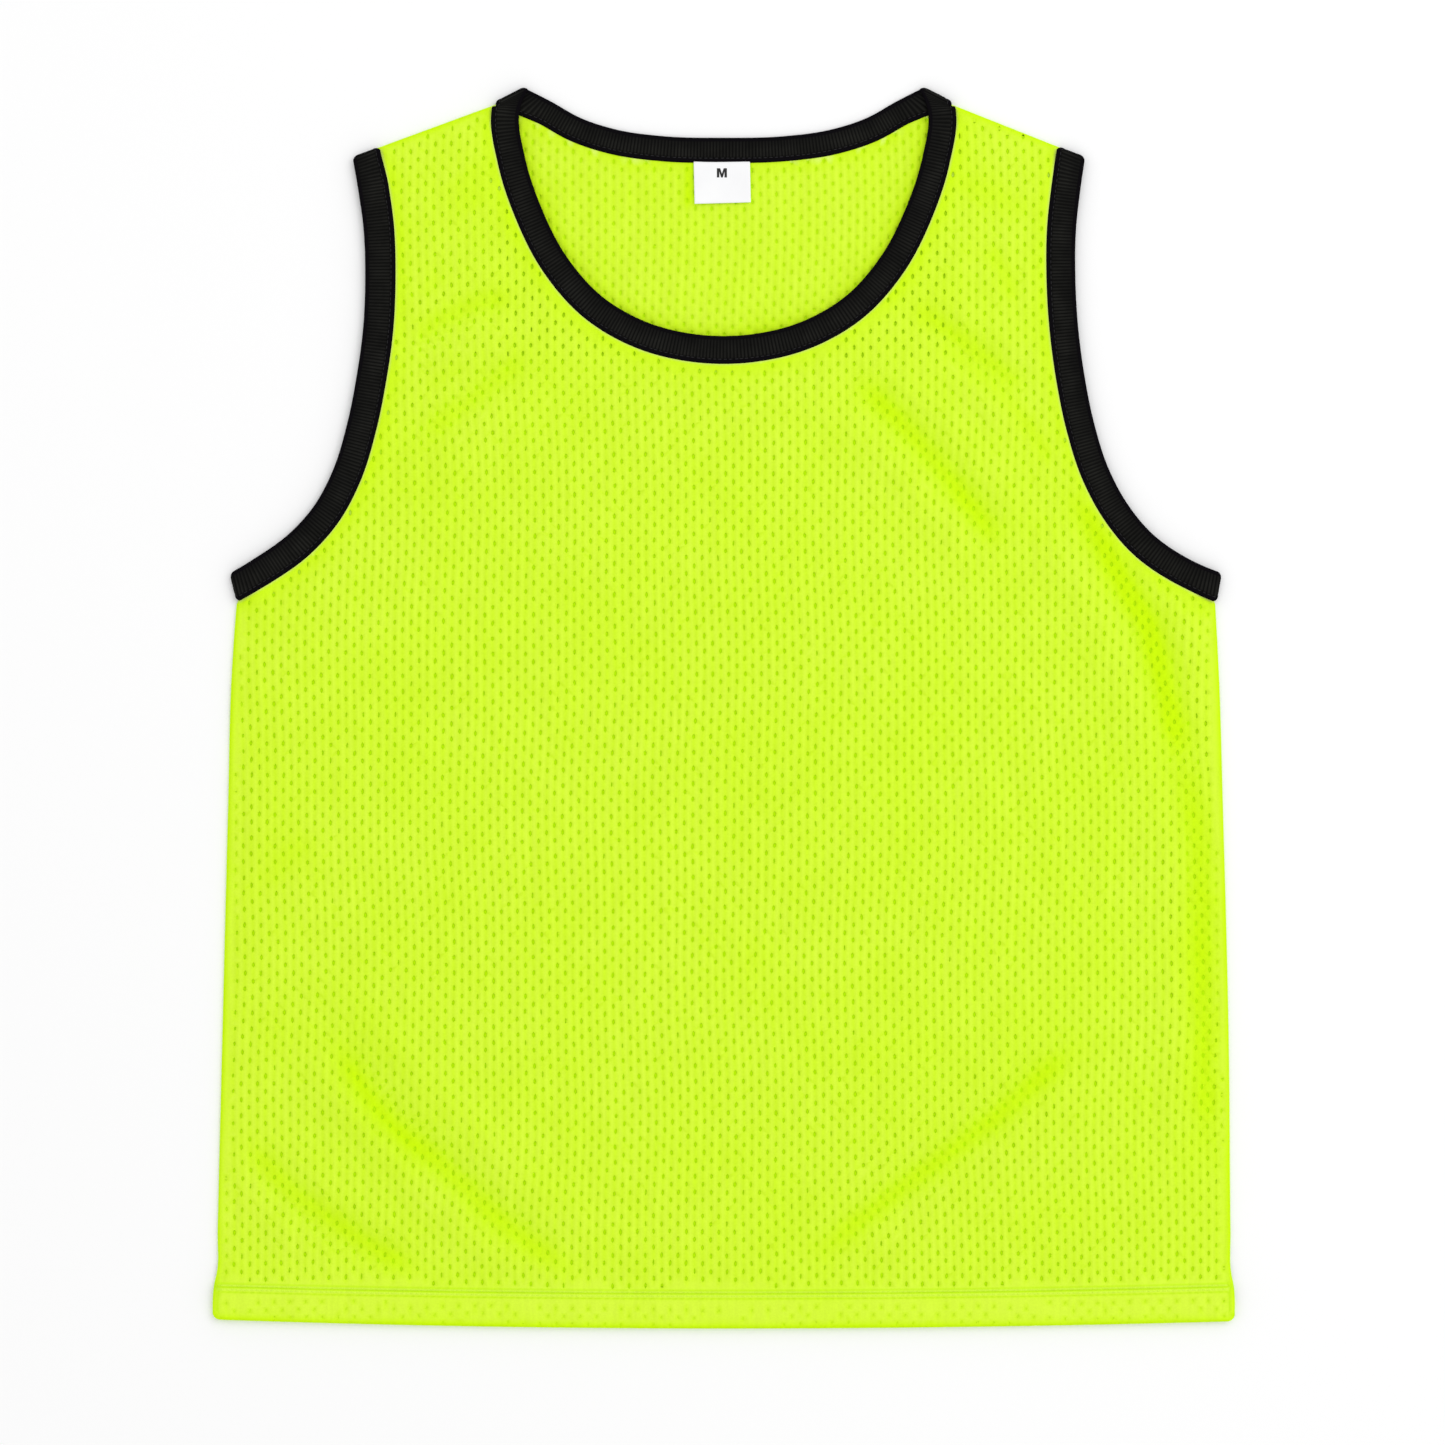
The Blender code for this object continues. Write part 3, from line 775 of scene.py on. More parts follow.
def hemDips(x):  # the lower row's needle dips, unevenly strong
    turn = 2 * math.pi * x / hemSewing["dipPitch"] + ripples(x, hemSewing["dipWander"])
    return 0.35 + 0.65 * smoothStep(0.5 + 0.9 * np.sin(turn))


def hemRelief(points):
    below = belowHem(points)
    relief = sum(high * bell(below - place, half) for place, half, high in hemSewing["lines"])
    place, half, high = hemSewing["dips"]
    return relief + high * hemDips(points[:, 0]) * bell(below - place, half)


def sideRelief(away):  # groove of the seam that lies just inside each side edge
    return -hemSewing["seamDeep"] * bell(away - hemSewing["seamIn"], 0.5)


def underBinding(bound):  # how far the mesh is pressed in where it runs under a binding
    return 0.5 * (1 - smoothStep((bound + 0.4) / 2.2))


def frontLay(points):
    seams, side = edgeDistance(points, allSeams), edgeDistance(points, sideSeams)
    bound, below = edgeDistance(points, frontBounds), belowHem(points)
    x, y = points[:, 0], points[:, 1]
    pinched = smoothStep(seams / lay["pinch"])
    loose = smoothStep(bound / lay["pinch"]) * smoothStep((-below - 2) / lay["pinch"])
    loft = lay["wave"] * (np.sin(x / 47 + y / 88) + np.sin(y / 53 - x / 96 + 1.3))
    for start, middle, end, half, deep, ridge in folds:
        loft = loft + troughAndRidges(points, (start, middle, end), half, deep, ridge)
    fine = np.zeros(len(points))
    for half, deep, _, path in creases:
        fine = fine + troughAndRidges(points, path, half, deep, deep * 0.6)
    air = (lay["loft"] + np.maximum(loft + fine, -lay["loft"]) * loose) * pinched
    panel = 2 * lay["cloth"] + lay["gap"] + air
    share = hemShare(points)
    hem = lay["hem"] + ripples(x, lay["hemRipple"])
    high = panel * (1 - share) + hem * share + hemRelief(points) * pinched
    high = high + sideRelief(side) * smoothStep((below + 20) / 30 + 1)  # fades above the hem
    low = lay["seam"] * (1 - share) + lay["hemSeam"] * share
    high = low + (high - low) * rounded(seams, lay["roll"])
    fold = edgeDistance(points, [hemFold])
    high = np.where(share > 0.5, np.minimum(high, lay["frontFold"] + rounded(fold, 1.5)), high)
    return high - underBinding(bound) * smoothStep(seams / 3)


def hemLines(points, table, half):  # the strongest of the hem's lines of tone at each point
    below = belowHem(points)
    return np.max([strength * bell(below - place, half) for place, strength in table], axis=0)


# painted shade in the creases, along the hem's sewing, and beside the side seams, shoulders, hem
# fold and bindings
def frontPaintedShade(points):
    tone = np.maximum(creaseTone(points, creases), hemLines(points, hemSewing["creaseShade"], 0.5))
    edgeLines = (
        (sideSeams, 0.9, 2.4),
        (shoulderLines, 0.9, 3.2),
        ([hemFold], 1.0, 3.0),
        (frontBounds, 0.7, 6.5),
    )
    for lines, strength, half in edgeLines:
        tone = np.maximum(tone, strength * bell(edgeDistance(points, lines), half))
    return tone


# painted shade in the underside's creases, beside its seams and hem fold, and along the hem's
# sewing
def backPaintedShade(points):
    side = edgeDistance(points, allSeams + [hemFold])
    tone = np.maximum(creaseTone(points, backCreases), 0.85 * bell(side, 1.5))
    return np.maximum(tone, hemLines(points, hemSewing["creaseShade"], 0.5))


def sewnShade(points):  # painted shade in the grooves of the hem's sewing and of the side seams inside it
    seam = bell(edgeDistance(points, sideSeams) - hemSewing["seamIn"], 0.5) * hemShare(points)
    shade = np.maximum(0.7 * seam, hemLines(points, hemSewing["dark"], 0.45))
    dips = hemDips(points[:, 0]) * bell(belowHem(points) - hemSewing["dips"][0], 0.5)
    return np.maximum(shade, 0.6 * dips)


def paintedRimHighlight(points):  # painted highlight: thin bright lines beside a binding and on the ridges between the hem's rows of sewing
    away = edgeDistance(points, list(bounds.values()))
    return np.maximum(0.75 * bell(away - 0.15, 0.42), hemLines(points, hemSewing["light"], 0.4))


def backLift(points):
    lift = np.zeros(len(points))
    for half, deep, _, path in backCreases:
        lift = lift - troughAndRidges(points, path, half, deep, 0.0)
    return lift


def backUnder(points):
    seams, side = edgeDistance(points, allSeams), edgeDistance(points, sideSeams)
    bound, share = edgeDistance(points, backBounds), hemShare(points)
    meet = lay["seam"] * (1 - share) + lay["hemSeam"] * share
    high = 0.1 + backLift(points) * (1 - share) - hemRelief(points) * 0.5 - sideRelief(side) * 0.7
    high = np.maximum(high, 0.0)
    high = high + (meet - high) * (1 - rounded(seams, lay["roll"]))
    fold = edgeDistance(points, [hemFold])
    high = np.where(share > 0.5, np.maximum(high, 1.0 - rounded(fold, 1.2)), high)
    return high + underBinding(bound)


def coveredShare(points):  # 0 in the neck opening, 1 well under the front
    past = -nearLine(points, coarse["front"][0])[1] - lay["coverFrom"]
    return smoothStep(past / lay["coverBlend"])


def backUpper(points):  # flat in the neck, and close under the front where that lies on it
    share = hemShare(points)
    under = frontLay(points) - eyelets["under"]
    high = lay["cloth"] + backLift(points)
    high = high + np.maximum(under - high, 0) * coveredShare(points)
    high = high * (1 - share) + 2 * lay["cloth"] * share
    fold = edgeDistance(points, [hemFold])
    return np.where(share > 0.5, np.minimum(high, 1.0 + rounded(fold, 1.2)), high)


# Eyelets: staggered columns, warped as the knit has been pulled, each one a lens with turned lips
eyelets = {
    "column": 4.02,  # mm between columns
    "pitch": 7.8,  # mm from one to the next in a column
    "columns": 66,  # to each side of the middle, and rows above and below it
    "rows": 42,
    "shift": (1.2, 0.6),
    "half": (0.76, 1.6),
    "ring": [(0.0, 1.0), (-0.95, 0.38), (-0.95, -0.38), (0.0, -1.0), (0.95, -0.38), (0.95, 0.38)],
    "sizes": (0.75, 1.2),  # least and most
    "lip": 0.3,
    "lipIn": 0.82,
    "under": 0.5,  # how far the cloth behind lies below the open holes
    "relief": 0.04,
    "crowd": 0.28,  # how far a fold draws its columns together
    "edgeClear": 1.6,
    "sideClear": 3.6,
    "sideClearBetween": 4.2,
    "hemClear": (-2.2, 6.9),  # none here below the hem's top edge, where its sewing is
    "hemClearBetween": (-1.8, 6.3),
    "hemSize": 0.62,  # the turned hem half closes them, and some are missing: front, back
    "hemMissing": (0.15, 0.45),
    "hemLip": 0.14,
    "sideBand": 6.0,  # so near a side seam they are dimples, over the seam's turning
    "sideLip": 0.25,
    "edgeRows": (0.7, 1.7, 2.7, 3.5),
}


def pulled(points):  # the knit drawn out of line in slow waves, and together in the large folds
    x, y = points[:, 0], points[:, 1]
    across = 0.9 * np.sin(y / 41 + x / 73 + 1.0) + 0.45 * np.sin(y / 17 - x / 90 + 0.4)
    up = 1.0 * np.sin(x / 33 + y / 95 + 2.0) + 0.5 * np.sin(x / 13.5 - y / 70)
    moved = points + np.stack([across, up], axis=1)
    for start, middle, end, half, _, _ in folds:
        path = smoothLine((start, middle, end), 6.0, 30)
        _, left, place = nearLine(moved, path)
        travel = unit(np.gradient(path, axis=0))[(place * (len(path) - 1)).round().astype(int)]
        sideways = np.stack([-travel[:, 1], travel[:, 0]], axis=1)
        reach = -eyelets["crowd"] * left * bell(left, half) * fadedEnds(place, 4, 0.0)
        moved = moved + sideways * reach[:, None]
    return moved


def knitGrid(shift):
    columns = np.arange(-eyelets["columns"], eyelets["columns"] + 1)
    rows = np.arange(-eyelets["rows"], eyelets["rows"] + 1)
    column, row = [g.ravel() for g in np.meshgrid(columns, rows)]
    x = column * eyelets["column"] + shift[0]
    y = (row + (column % 2) / 2) * eyelets["pitch"] + shift[1]
    centres = np.stack([x, y], axis=1)
    beside = np.array((eyelets["column"] / 2, eyelets["pitch"] / 4))
    between = np.concatenate([centres + beside, centres + beside * (1, -1)])
    return pulled(centres), pulled(between)


def eyeletRings(centres, size, tilt):
    ring = np.array(eyelets["ring"]) * eyelets["half"] * size[:, None]
    x, y, cos, sin = ring[..., 0], ring[..., 1], np.cos(tilt)[:, None], np.sin(tilt)[:, None]
    return centres[:, None] + np.stack([x * cos - y * sin, x * sin + y * cos], axis=2)


def knittedSheet(name, outline, rings, lips, capped, loosePoints, lie, way):
    # rings and the outline are kept as edges; an eyelet's own faces go, or sink where it is capped
    # the height, the painted shade of folds and seams, and the painted shade of eyelets and grooves
    height, tone, deep = lie
    count, (eyeletCount, corners) = len(outline), rings.shape[:2]
    ringEnd = count + eyeletCount * corners
    kept = [(i, (i + 1) % count) for i in range(count)]
    for first in range(count, ringEnd, corners):
        kept += [(first + i, first + (i + 1) % corners) for i in range(corners)]
    plan = np.concatenate([outline, rings.reshape(-1, 2), loosePoints])
    flat, _, faces, origin, *_ = delaunay_2d_cdt([Vector(p) for p in plan], kept, [], 1, 1e-4)
    flat, faces = np.array([tuple(p) for p in flat]), np.array(faces)
    source = np.array([o[0] if o else -1 for o in origin])
    onRing, loose = (source >= count) & (source < ringEnd), source >= ringEnd
    own = np.where(onRing, (source - count) // corners, -1)[faces]
    hole = (own[:, 0] >= 0) & (own[:, 0] == own[:, 1]) & (own[:, 1] == own[:, 2])
    relief = np.where(onRing, -eyelets["relief"], np.where(loose, eyelets["relief"], 0.0))
    column = np.where(onRing, 1.0, np.where(loose, 0.0, 0.45))
    top = np.column_stack([flat, np.maximum(height(flat) + way * relief, 0.0)])
    index = np.full(len(plan), -1)
    index[source[source >= 0]] = np.flatnonzero(source >= 0)
    ringIndex = index[count:ringEnd].reshape(-1, corners)
    middle = rings.mean(axis=1, keepdims=True)
    lower = middle + (rings - middle) * eyelets["lipIn"]
    lowerHigh = top[ringIndex, 2] - way * lips[:, None]
    lowerPoints = np.concatenate([lower, lowerHigh[..., None]], axis=2).reshape(-1, 3)
    lowerIndex = len(top) + np.arange(len(lowerPoints)).reshape(-1, corners)
    ahead = np.roll(np.arange(corners), -1)
    wall = [ringIndex, ringIndex[:, ahead], lowerIndex[:, ahead], lowerIndex]
    wall = np.stack(wall, axis=2).reshape(-1, 4)
    toLower = np.full(len(top), -1)
    toLower[ringIndex.ravel()] = lowerIndex.ravel()
    caps = toLower[faces[hole][capped[own[hole][:, 0]]]]
    points = np.concatenate([top, lowerPoints])
    # painted shade on the eyelets' turned lips
    lipShade = np.repeat((lips * 2.9).clip(0, 0.85), corners)
    values = {
        "column": np.concatenate([column, np.full(len(lowerPoints), 1.25)]),
        "creaseShade": tone(points[:, :2]),
        "deep": np.concatenate([deep(flat), lipShade]),
        "rim": paintedRimHighlight(points[:, :2]),
    }
    faceSets = [faces[~hole], wall, caps]
    if way < 0:
        faceSets = [f[:, ::-1] for f in faceSets]
    square = squareOf(points)
    return addMesh(name, points, faceSets, neonMesh, values, [square[f] for f in faceSets])


def hemRows():  # close rows of points that carry the hem's sewing
    found = []
    for below in hemSewing["rows"]:
        x = np.arange(-252.0, 252.0, hemSewing["rowStep"])
        found.append(np.stack([x, hemEdge(x) - below], axis=1))
    return np.concatenate(found)


def edgeRows(away):  # points beside the side seams, shoulders and hem fold, for their rounding
    found = []
    for distance in away:
        for column, way in ((1, 1), (2, -1)):
            found.append(sides[column] + (distance * way, 0))
            line = shoulders[column]
            share = np.linspace(0.02, 0.98, 24)[:, None]
            found.append(line[0] + (line[1] - line[0]) * share - (0, distance * 1.05))
        found.append(hemFold[4:-4] + (0, distance))
    return np.concatenate(found)


def clearOf(points, outline, distance):
    closed = np.concatenate([outline, outline[:1]])
    return inside(points, outline) & (nearLine(points, closed)[0] > distance)


def fitting(rings, outline):  # which rings lie wholly inside; only those near the edge need a look
    middle = rings.mean(axis=1)
    fits = np.ones(len(rings), bool)
    near = ~clearOf(middle, outline, 3.0)
    corners = clearOf(rings[near].reshape(-1, 2), outline, 0.35)
    fits[near] = corners.reshape(-1, rings.shape[1]).all(axis=1)
    return fits


def rimRows(neckKey, rings):  # close rows of points beside the bindings, clear of the eyelets
    close, keys = allStrips(1.5), ("left", "right", neckKey)
    rows = [sewnEdge(close[key], gap) for key in keys for gap in (0.05, 0.6, 1.4)]
    rows = np.concatenate(rows)
    middle, clear = rings.mean(axis=1), np.ones(len(rows), bool)
    for first in range(0, len(rows), 1000):
        gap = (rows[first : first + 1000, None] - middle) / eyelets["half"]
        clear[first : first + 1000] = np.hypot(gap[..., 0], gap[..., 1]).min(axis=1) > 1.4
    return rows[clear]


def eyeletPlan(outline, shift):  # eyelets' middles, which lie in the hem, and the points between
    centres, between = knitGrid(shift)
    below, beside = belowHem(centres), belowHem(between)
    low, high = eyelets["hemClear"]
    keep = ((below < low) | (below > high)) & clearOf(centres, outline, eyelets["edgeClear"])
    low, high = eyelets["hemClearBetween"]
    between = between[(beside < low) | (beside > high)]
    between = between[edgeDistance(between, sideSeams) > eyelets["sideClearBetween"]]
    return centres[keep], below[keep] > 0, between


def eyeletSizes(count, mean, spread):
    return seeded.normal(mean, spread, (count, 2)).clip(*eyelets["sizes"])


def frontMesh():
    outline = panelOutline("front")
    centres, inHem, between = eyeletPlan(outline, eyelets["shift"])
    thin = seeded.random(len(centres))
    away = edgeDistance(centres, sideSeams)
    keep = ~(inHem & (thin < eyelets["hemMissing"][0])) & (away > eyelets["sideClear"])
    centres, inHem, thin, away = centres[keep], inHem[keep], thin[keep], away[keep]
    size = eyeletSizes(len(centres), 1.0, 0.07)
    size[:, 0] *= np.where(thin > 0.96, 0.55, 1.0)  # a few are pulled nearly shut
    size[inHem] *= eyelets["hemSize"]
    size[away < 7.5] *= 0.8  # smaller beside the side seams
    tilt = seeded.normal(-0.03, 0.07, len(centres))
    tilt[inHem] = seeded.normal(-0.25, 0.35, int(inHem.sum()))  # askew where the hem holds them
    centres = centres + seeded.normal(0, 0.12, centres.shape)
    rings = eyeletRings(centres, size, tilt)
    fits = fitting(rings, panelOutline("front", gap=0.5))
    rings, inHem, away = rings[fits], inHem[fits], away[fits]
    bySide = away < eyelets["sideBand"]
    lips = np.where(inHem, eyelets["hemLip"], eyelets["lip"])
    lips = np.where(bySide, eyelets["sideLip"], lips)
    rows = [hemRows(), edgeRows(eyelets["edgeRows"]), between, rimRows("front", rings)]
    loose = np.concatenate(rows)
    loose = loose[clearOf(loose, outline, 0.4)]
    lie = (frontLay, frontPaintedShade, sewnShade)
    piece = knittedSheet("front_eyelet_mesh", outline, rings, lips, inHem | bySide, loose, lie, 1)
    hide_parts("front_panel")
    return piece


def backOuterMesh():
    outline = panelOutline("back")
    beside = eyelets["column"] / 2, eyelets["pitch"] / 4  # its holes lie between the front's
    centres, inHem, between = eyeletPlan(outline, np.add(eyelets["shift"], beside))
    keep = ~(inHem & (seeded.random(len(centres)) < eyelets["hemMissing"][1]))
    centres, inHem = centres[keep], inHem[keep]
    size = eyeletSizes(len(centres), 1.0, 0.07)
    size[inHem] *= eyelets["hemSize"]
    tilt = seeded.normal(-0.03, 0.07, len(centres))
    rings = eyeletRings(centres, size, tilt)
    away = edgeDistance(centres, sideSeams)
    fits = fitting(rings, panelOutline("back", gap=0.5)) & (away > eyelets["sideClear"])
    rings, inHem, away = rings[fits], inHem[fits], away[fits]
    capped = inHem | (away < eyelets["sideBand"])
    lips = np.where(capped, eyelets["sideLip"], eyelets["lip"])
    lips = np.where(inHem, eyelets["hemLip"], lips)
    between = between[np.arange(len(between)) % 4 > 0]  # the underside needs fewer points
    loose = np.concatenate([hemRows(), edgeRows(eyelets["edgeRows"]), between])
    loose = loose[clearOf(loose, outline, 0.4)]
    lie = (backUnder, backPaintedShade, sewnShade)
    piece = knittedSheet("back_eyelet_mesh", outline, rings, lips, capped, loose, lie, -1)
    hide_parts("back_panel")
    return piece


innerFace = {
    "inset": 1.6,  # how far it stays inside the back's outline
    "shown": (112.0, 176.0),  # eyelets only here, out from the middle and up from this
    "plain": (116.0, 172.0),  # plain grid points outside this
    "grid": (4.4, 4.6),
    "hemSteps": (-0.9, -0.3, 0.3, 0.9),
    "foldSteps": (0.4, 1.3),
    "labelShade": (-17.5, 3.2),  # the label's shade falls to its left: place, half width
    "labelUp": (248.0, 276.0),
}


# painted shade beside the neck's edges, and the label's painted shadow to its left
def innerPaintedShade(points):
    x, y = points[:, 0], points[:, 1]
    neck = edgeDistance(points, [bounds["back"], edges["front"][0]])
    (place, half), (low, high) = innerFace["labelShade"], innerFace["labelUp"]
    beside = 0.9 * bell(x - place, half) * smoothStep((y - low) / 6) * smoothStep((high - y) / 4)
    return np.maximum(0.65 * bell(neck, 5.0), beside)


def inNeck(points, reach):
    return (np.abs(points[:, 0]) < reach[0]) & (points[:, 1] > reach[1])


def backInnerMesh():  # the back's upper face, knitted open where the neck shows it
    outline = panelOutline("back", inset=innerFace["inset"])
    centres, between = knitGrid(eyelets["shift"])
    shown = inNeck(centres, innerFace["shown"])
    centres = centres[shown & clearOf(centres, outline, eyelets["edgeClear"])]
    size = eyeletSizes(len(centres), 0.95, 0.08)
    tilt = seeded.normal(-0.05, 0.09, len(centres))
    rings = eyeletRings(centres, size, tilt)
    rings = rings[fitting(rings, outline)]
    across, up = innerFace["grid"]
    grid = np.stack(np.meshgrid(np.arange(-250, 251, across), np.arange(-302, 300, up)), axis=2)
    grid = grid.reshape(-1, 2)
    grid = grid[~inNeck(grid, innerFace["plain"]) & (np.abs(belowHem(grid)) > 2.5)]
    grid = grid[nearLine(grid, hemFold)[0] > 3]
    x = np.arange(-250, 251, 6.0)
    steps = [np.stack([x, hemEdge(x) - below], axis=1) for below in innerFace["hemSteps"]]
    folded = [hemFold[4:-4] + (0, distance) for distance in innerFace["foldSteps"]]
    between = between[inNeck(between, innerFace["shown"])]
    loose = np.concatenate([between, grid, *steps, *folded])
    loose = loose[clearOf(loose, outline, 0.3)]
    lips, capped = np.full(len(rings), eyelets["lip"]), np.ones(len(rings), bool)
    # the upper face takes painted shade where it lies under the front
    lie = (backUpper, innerPaintedShade, coveredShare)
    return knittedSheet("back_inner_face", outline, rings, lips, capped, loose, lie, 1)


front = frontMesh()
backOuter = backOuterMesh()
backInner = backInnerMesh()


# Ribbed bindings: each a ring that runs along the front, folds over and runs back beneath itself
binding = {
    "pitch": 1.6,  # mm from rib to rib; real ones are 1.25, coarser here so that they show
    "cuts": 3,  # sections to a rib
    "deep": 0.32,
    "half": 1.0,
    "frontHeight": 3.3,
    "backHeight": 1.0,
    "turns": 13,
    "freeCorner": 2.6,  # corners of the folded ends, rounded in plan
    "sewnCorner": 2.0,
    "stitchIn": 2.3,  # stitch line from the sewn edge, and how far out of the strip's middle
    "stitchOut": 0.66,
    "stitch": {"pitch": 2.7, "long": 2.1, "wide": 0.3},
    "wander": [(0.35, 23.0, 0.0), (0.2, 7.1, 1.0)],  # ribs' drift: share, length, start
}
# places from the free and from the sewn edge, each with its share of the half thickness
lipFace = [(0.0, 0.0), (0.12, 0.45), (0.45, 0.8), (1.0, 0.94), (1.6, 0.93)]
sewnFace = [
    (3.2, 0.98),
    (2.75, 0.86),
    (2.3, 0.7),
    (1.8, 0.86),
    (1.2, 0.96),
    (0.5, 0.84),
    (0.1, 0.42),
]


def bindingFace(width):  # over from the free edge, height, and how much rib and lip there is
    rows = [(t, n, 0.0, 1.0) for t, n in lipFace]
    rows += [(2.2, 0.98, 0.7, 0.2), (width * 0.5, 1.0, 1.0, 0.0)]
    for t, n in sewnFace:
        ribbed = 1.0 if t > 2.8 else 0.45 if t > 2.0 else 0.0
        rows.append((width - t, n, ribbed, 1.0 if t < 2.0 else 0.0))
    return rows


def foldSections(free, over, first):
    outward = unit((-over[1], over[0]))
    if outward @ (free[-1] - free[-2]) < 0:
        outward = -outward
    axis = (binding["frontHeight"] + binding["backHeight"]) / 2
    radius = binding["frontHeight"] - axis
    sections = []
    for turn in np.linspace(first, -first, binding["turns"] + 2)[1:-1]:
        away = np.array([*(outward * math.cos(turn)), math.sin(turn)])
        section = (np.array([*free[-1], axis]) + away * radius, over, away)
        sections.append(cornered(section, cut["foldReach"] * (1 - math.cos(turn)) + 0.02))
    return sections


def cornered(section, beyond):  # the same section drawn in where it nears the fold's outer edge
    point, over, normal = section
    width = np.linalg.norm(over)
    drawn = []
    for radius in (binding["freeCorner"], binding["sewnCorner"]):
        short = max(radius - beyond, 0.0)
        drawn.append(radius - math.sqrt(max(radius**2 - short**2, 0.0)))
    moved = np.array([*(over / width * drawn[0]), 0.0])
    return point + moved, over * (1 - sum(drawn) / width), normal


def bindingSections(front, back):
    sections = []
    ways = ((front, binding["frontHeight"], 1), (back, binding["backHeight"], -1))
    for (free, over), height, side in ways:
        reach = travelled(free)
        for point, vector, place in zip(free, over, np.minimum(reach, reach[-1] - reach)):
            section = (np.array([*point, height]), vector, np.array([0.0, 0.0, side]))
            sections.append(cornered(section, cut["foldReach"] + place))
        sections += foldSections(free, over[-1], side * math.pi / 2)
    return sections


def bindingRing(name, front, back, node):
    sections = bindingSections(front, back)
    place, over, normal = [np.array([s[k] for s in sections]) for k in range(3)]
    width = np.linalg.norm(over, axis=1)
    across = np.column_stack([over / width[:, None], np.zeros(len(over))])
    steps = np.linalg.norm(np.diff(place, axis=0, append=place[:1]), axis=1)
    reach = np.concatenate([[0], np.cumsum(steps)])
    whole, reach = reach[-1], reach[:-1]
    ribs = round(whole / binding["pitch"])
    wander = ripples(reach, binding["wander"])
    phase = reach / whole * ribs + wander * np.sin(math.pi * reach / whole)
    rib = (0.5 + 0.5 * np.cos(2 * math.pi * phase))[:, None]
    bend = (0.5 + 0.5 * np.sin(reach / 15.0 + 2))[:, None]  # ribs are a little deeper in places
    columns = []
    for side in (1, -1):
        rows = np.array([bindingFace(w) for w in width])  # section, corner, four values
        rows = rows if side == 1 else rows[:, :0:-1]
        sunk = binding["deep"] * (0.7 + 0.5 * bend) * (1 - rib) * rows[..., 2]
        out = side * (rows[..., 1] * binding["half"] - sunk)
        points = place[:, None] + across[:, None] * rows[..., :1] + normal[:, None] * out[..., None]
        columns.append((points, rib * rows[..., 2], rows[..., 3]))
        if side == 1:
            tail = place + across * width[:, None]
            columns.append((tail[:, None], np.zeros((len(tail), 1)), np.ones((len(tail), 1))))
    points, ribValue, lipValue = [np.concatenate([c[k] for c in columns], axis=1) for k in range(3)]
    along, corners = points.shape[:2]
    i, k = [g.ravel() for g in np.meshgrid(np.arange(along), np.arange(corners), indexing="ij")]
    n, m = (i + 1) % along, (k + 1) % corners
    faces = np.stack(
        [i * corners + k, i * corners + m, n * corners + m, n * corners + k], axis=1
    )
    u = np.stack([i, i, i + 1, i + 1], axis=1) / along
    v = np.stack([k, k + 1, k + 1, k], axis=1) / corners
    values = {"rib": ribValue.ravel(), "lip": lipValue.ravel()}
    uv = np.stack([u, v], axis=2)[:, ::-1]
    piece = addMesh(name, points.reshape(-1, 3), [faces[:, ::-1]], blackRib, values, [uv])
    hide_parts(node)
    return piece, place, across, normal, width


stitchShape = {
    "sides": 6,
    "shoulder": 0.62,  # share of the half length at which it is thickest, and its girth there
    "girth": 0.85,
    "drop": 0.25,
    "sink": 0.9,  # how deep its ends go in
    "stray": 0.05,
    "look": 0.4,  # mm ahead and behind over which its direction is taken
}


def alongPath(path, reach, places):
    return np.stack([np.interp(places, reach, path[:, k]) for k in range(3)], axis=1)


def stitchRow(name, path, up, spec, material):
    # one slim lens of thread for each stitch, sunk at both ends
    sides, look, reach = stitchShape["sides"], stitchShape["look"], travelled(path)
    middles = np.arange(spec["pitch"] / 2, reach[-1], spec["pitch"])
    middles = middles + seeded.normal(0, stitchShape["stray"], len(middles)) * spec["pitch"]
    middles = middles.clip(0, reach[-1])
    centre = alongPath(path, reach, middles)
    travel = unit(alongPath(path, reach, middles + look) - alongPath(path, reach, middles - look))
    beside = unit(np.cross(travel, alongPath(up, reach, middles)))
    above = np.cross(beside, travel)
    half, wide = spec["long"] / 2, spec["wide"]
    sink, drop = above * wide * stitchShape["sink"], above * stitchShape["drop"]
    points = [centre - travel * half - sink]
    for share in (-stitchShape["shoulder"], stitchShape["shoulder"]):
        for angle in np.linspace(0, 2 * math.pi, sides, endpoint=False):
            around = beside * math.cos(angle) + above * math.sin(angle)
            off = (around * stitchShape["girth"] - drop) * wide
            points.append(centre + travel * half * share + off)
    points.append(centre + travel * half - sink)
    points = np.stack(points, axis=1)
    near = np.arange(1, sides + 1)
    far, nextNear = near + sides, np.roll(near, -1)
    nextFar, tail = np.roll(far, -1), 2 * sides + 1
    ends = [np.stack([np.zeros(sides, int), nextNear, near], axis=1)]
    ends.append(np.stack([np.full(sides, tail), far, nextFar], axis=1))
    belt = np.stack([near, nextNear, nextFar, far], axis=1)
    start = (np.arange(len(middles)) * (tail + 1))[:, None, None]
    caps = (start + np.concatenate(ends)[None]).reshape(-1, 3)
    belts = (start + belt[None]).reshape(-1, 4)
    return addMesh(name, points.reshape(-1, 3), [caps, belts], material)


def reverse(edge):
    return edge[0][::-1], edge[1][::-1]


